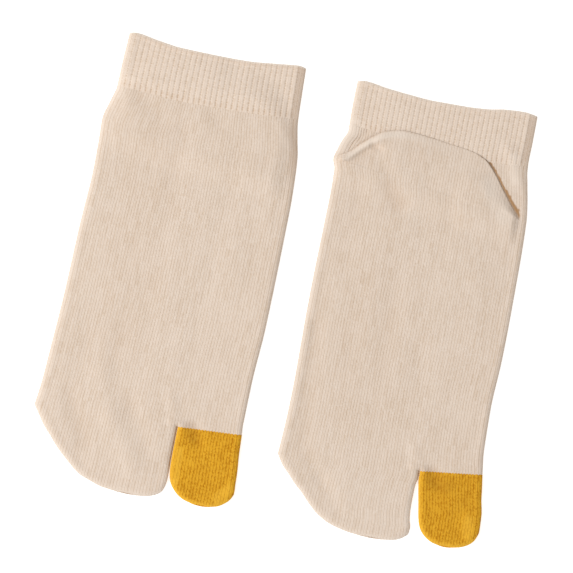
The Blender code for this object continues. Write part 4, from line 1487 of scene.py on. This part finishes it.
def made_materials(colours):
    """The three knitted finishes, built once and shared."""
    found = {slot: bpy.data.materials.get(name) for slot, name in FINISHES.items()}
    if all(found.values()):
        return found
    groups = {"loops": loops_group(), "yarn": yarn_group()}
    beige, deep = tuple(colours.beige), tuple(colours.beige_deep)
    mustard, mustard_deep = tuple(colours.mustard), tuple(colours.mustard_deep)
    return {
        slot: knit_material(FINISHES[slot], groups, light, dark, look)
        for slot, light, dark, look in (("beige_rib", beige, deep, RIB_LOOK),
                                        ("beige_knit", beige, deep, KNIT_LOOK),
                                        ("mustard_knit", mustard, mustard_deep, TOE_LOOK))
    }


def mean_along(line):
    """How far along the sock a line across it lies, over the sock's middle."""
    return float(np.mean(curve_at(line, MIDDLE)))


class TABI_OT_cuffs(bpy.types.Operator):
    """Knit the elastic ribbed cuff of each sock"""

    bl_idname = "tabi.cuffs"
    bl_label = "Ribbed cuffs"

    def execute(self, context):
        sizes = context.scene.tabi_sizes
        for sock in SOCKS:
            flat, area = round_and_long(sock.body, mean_along(sock.mouth),
                                        mean_along(sock.cuff_end))
            finish_piece(sock, knit_cuff(sock, sizes), "_ribbed_cuff", "beige_rib", ("_cuff",))
        return {"FINISHED"}


class TABI_OT_bodies(bpy.types.Operator):
    """Knit the leg and foot of each sock, with its folded heel pouch"""

    bl_idname = "tabi.bodies"
    bl_label = "Legs, heels and feet"

    def execute(self, context):
        sizes = context.scene.tabi_sizes
        for sock in SOCKS:
            end = float(np.mean(toe_line(sock, MIDDLE)))
            flat, area = round_and_long(sock.body, mean_along(sock.cuff_end), end)
            fold = float(np.mean(curve_at(sock.hinge, MIDDLE) - pouch_edge(sock, MIDDLE))) * MM
            finish_piece(sock, knit_body(sock, sizes), "_leg_and_foot", "beige_knit",
                         ("_leg", "_foot"))
        return {"FINISHED"}


def toe_columns(sock, sizes):
    """The body's columns at its last row, shared out to the four toes and to the big toe."""
    columns = body_columns(sock, sizes)
    outer, crotch, inner = sock.toe_line
    across = columns.between(float(side(sock.body, "left", outer.along)),
                             float(side(sock.body, "right", inner.along)))
    four_right = float(side(sock.four_toes, "right", crotch.along))
    one_left = float(side(sock.big_toe, "left", crotch.along))
    clear = FINE_EDGE[-1] + CLEAR_OF_EDGE
    four = np.concatenate((across[across < four_right - clear], four_right - FINE_EDGE[::-1]))
    one = np.concatenate((one_left + FINE_EDGE, across[across > one_left + clear]))
    return [(part, np.interp(part, across, columns.wale)) for part in (four, one)]


class TABI_OT_toes(bpy.types.Operator):
    """Knit the pocket for four toes and the mustard stall for the big toe of each sock"""

    bl_idname = "tabi.toes"
    bl_label = "Toe pockets"

    def execute(self, context):
        sizes = context.scene.tabi_sizes
        for sock in SOCKS:
            four, one = toe_columns(sock, sizes)
            corners = sock.toe_corners
            for table, columns, turns, name, slot, node in (
                    (sock.four_toes, four, corners[:2], "_four_toe_pocket", "beige_knit",
                     "_four_toes"),
                    (sock.big_toe, one, corners[2:], "_big_toe_stall", "mustard_knit",
                     "_big_toe")):
                start = sock.toe_line[1].along
                flat, area = round_and_long(table, start, table[-1].along)
                pocket = knit_pocket(sock, sizes, table, *columns, *turns)
                finish_piece(sock, pocket, name, slot, (node,))
        return {"FINISHED"}


class TABI_OT_stage(bpy.types.Operator):
    """Lay out the pale floor, the soft studio light and the camera straight above"""

    bl_idname = "tabi.stage"
    bl_label = "Floor, light and camera"

    def execute(self, context):
        colours = context.scene.tabi_colours
        scene = context.scene
        bpy.ops.mesh.primitive_plane_add(size=FLOOR_SIZE, location=(0.0, 0.0, FLOOR_LEVEL))
        floor = context.object
        floor.name = "studio_floor"
        material = bpy.data.materials.new("studio_floor")
        material.use_nodes = True
        set_inputs(material.node_tree.nodes["Principled BSDF"], {
            "Base Color": (*colours.floor, 1.0), "Roughness": 1.0, "Specular IOR Level": 0.0,
            "Emission Color": WHITE, "Emission Strength": colours.floor_glow,
        })
        floor.data.materials.append(material)
        light = bpy.data.lights.new("key", "AREA")
        light.shape = "DISK"
        light.size = KEY_SIZE
        light.energy = colours.key
        key = bpy.data.objects.new("key", light)
        key.location = KEY_PLACE
        key.rotation_euler = (-Vector(KEY_PLACE)).to_track_quat("-Z", "Y").to_euler()
        scene.collection.objects.link(key)
        world = bpy.data.worlds.new("studio")
        world.use_nodes = True
        set_inputs(world.node_tree.nodes["Background"],
                   {"Color": WHITE, "Strength": colours.ambient})
        scene.world = world
        scene.view_settings.view_transform = "Standard"
        lens = bpy.data.cameras.new("camera")
        lens.lens = CAMERA_LENS
        lens.sensor_width = CAMERA_SENSOR
        lens.clip_end = CAMERA_REACH
        camera = bpy.data.objects.new("camera", lens)
        height = FRAME_WIDTH * CAMERA_LENS / CAMERA_SENSOR
        camera.location = (*FRAME_CENTRE, height)
        scene.collection.objects.link(camera)
        scene.camera = camera
        return {"FINISHED"}


class TABI_PT_panel(bpy.types.Panel):
    """The steps that make the socks, in order"""

    bl_idname = "TABI_PT_panel"
    bl_label = "Tabi Socks"
    bl_space_type = "VIEW_3D"
    bl_region_type = "UI"
    bl_category = "Tabi Socks"

    def draw(self, context):
        layout = self.layout
        for operator in OPERATORS:
            layout.operator(operator.bl_idname)
        for group in (context.scene.tabi_sizes, context.scene.tabi_colours):
            for name in group.__annotations__:
                layout.prop(group, name)


OPERATORS = (TABI_OT_cuffs, TABI_OT_bodies, TABI_OT_toes, TABI_OT_stage)
CLASSES = (KnitSizes, YarnColours, *OPERATORS, TABI_PT_panel)


def register():
    for item in CLASSES:
        bpy.utils.register_class(item)
    bpy.types.Scene.tabi_sizes = PointerProperty(type=KnitSizes)
    bpy.types.Scene.tabi_colours = PointerProperty(type=YarnColours)


def unregister():
    del bpy.types.Scene.tabi_colours
    del bpy.types.Scene.tabi_sizes
    for item in reversed(CLASSES):
        bpy.utils.unregister_class(item)


def main():
    register()
    bpy.ops.tabi.cuffs()
    bpy.ops.tabi.bodies()
    bpy.ops.tabi.toes()
    bpy.ops.tabi.stage()


if __name__ == "__main__":
    main()
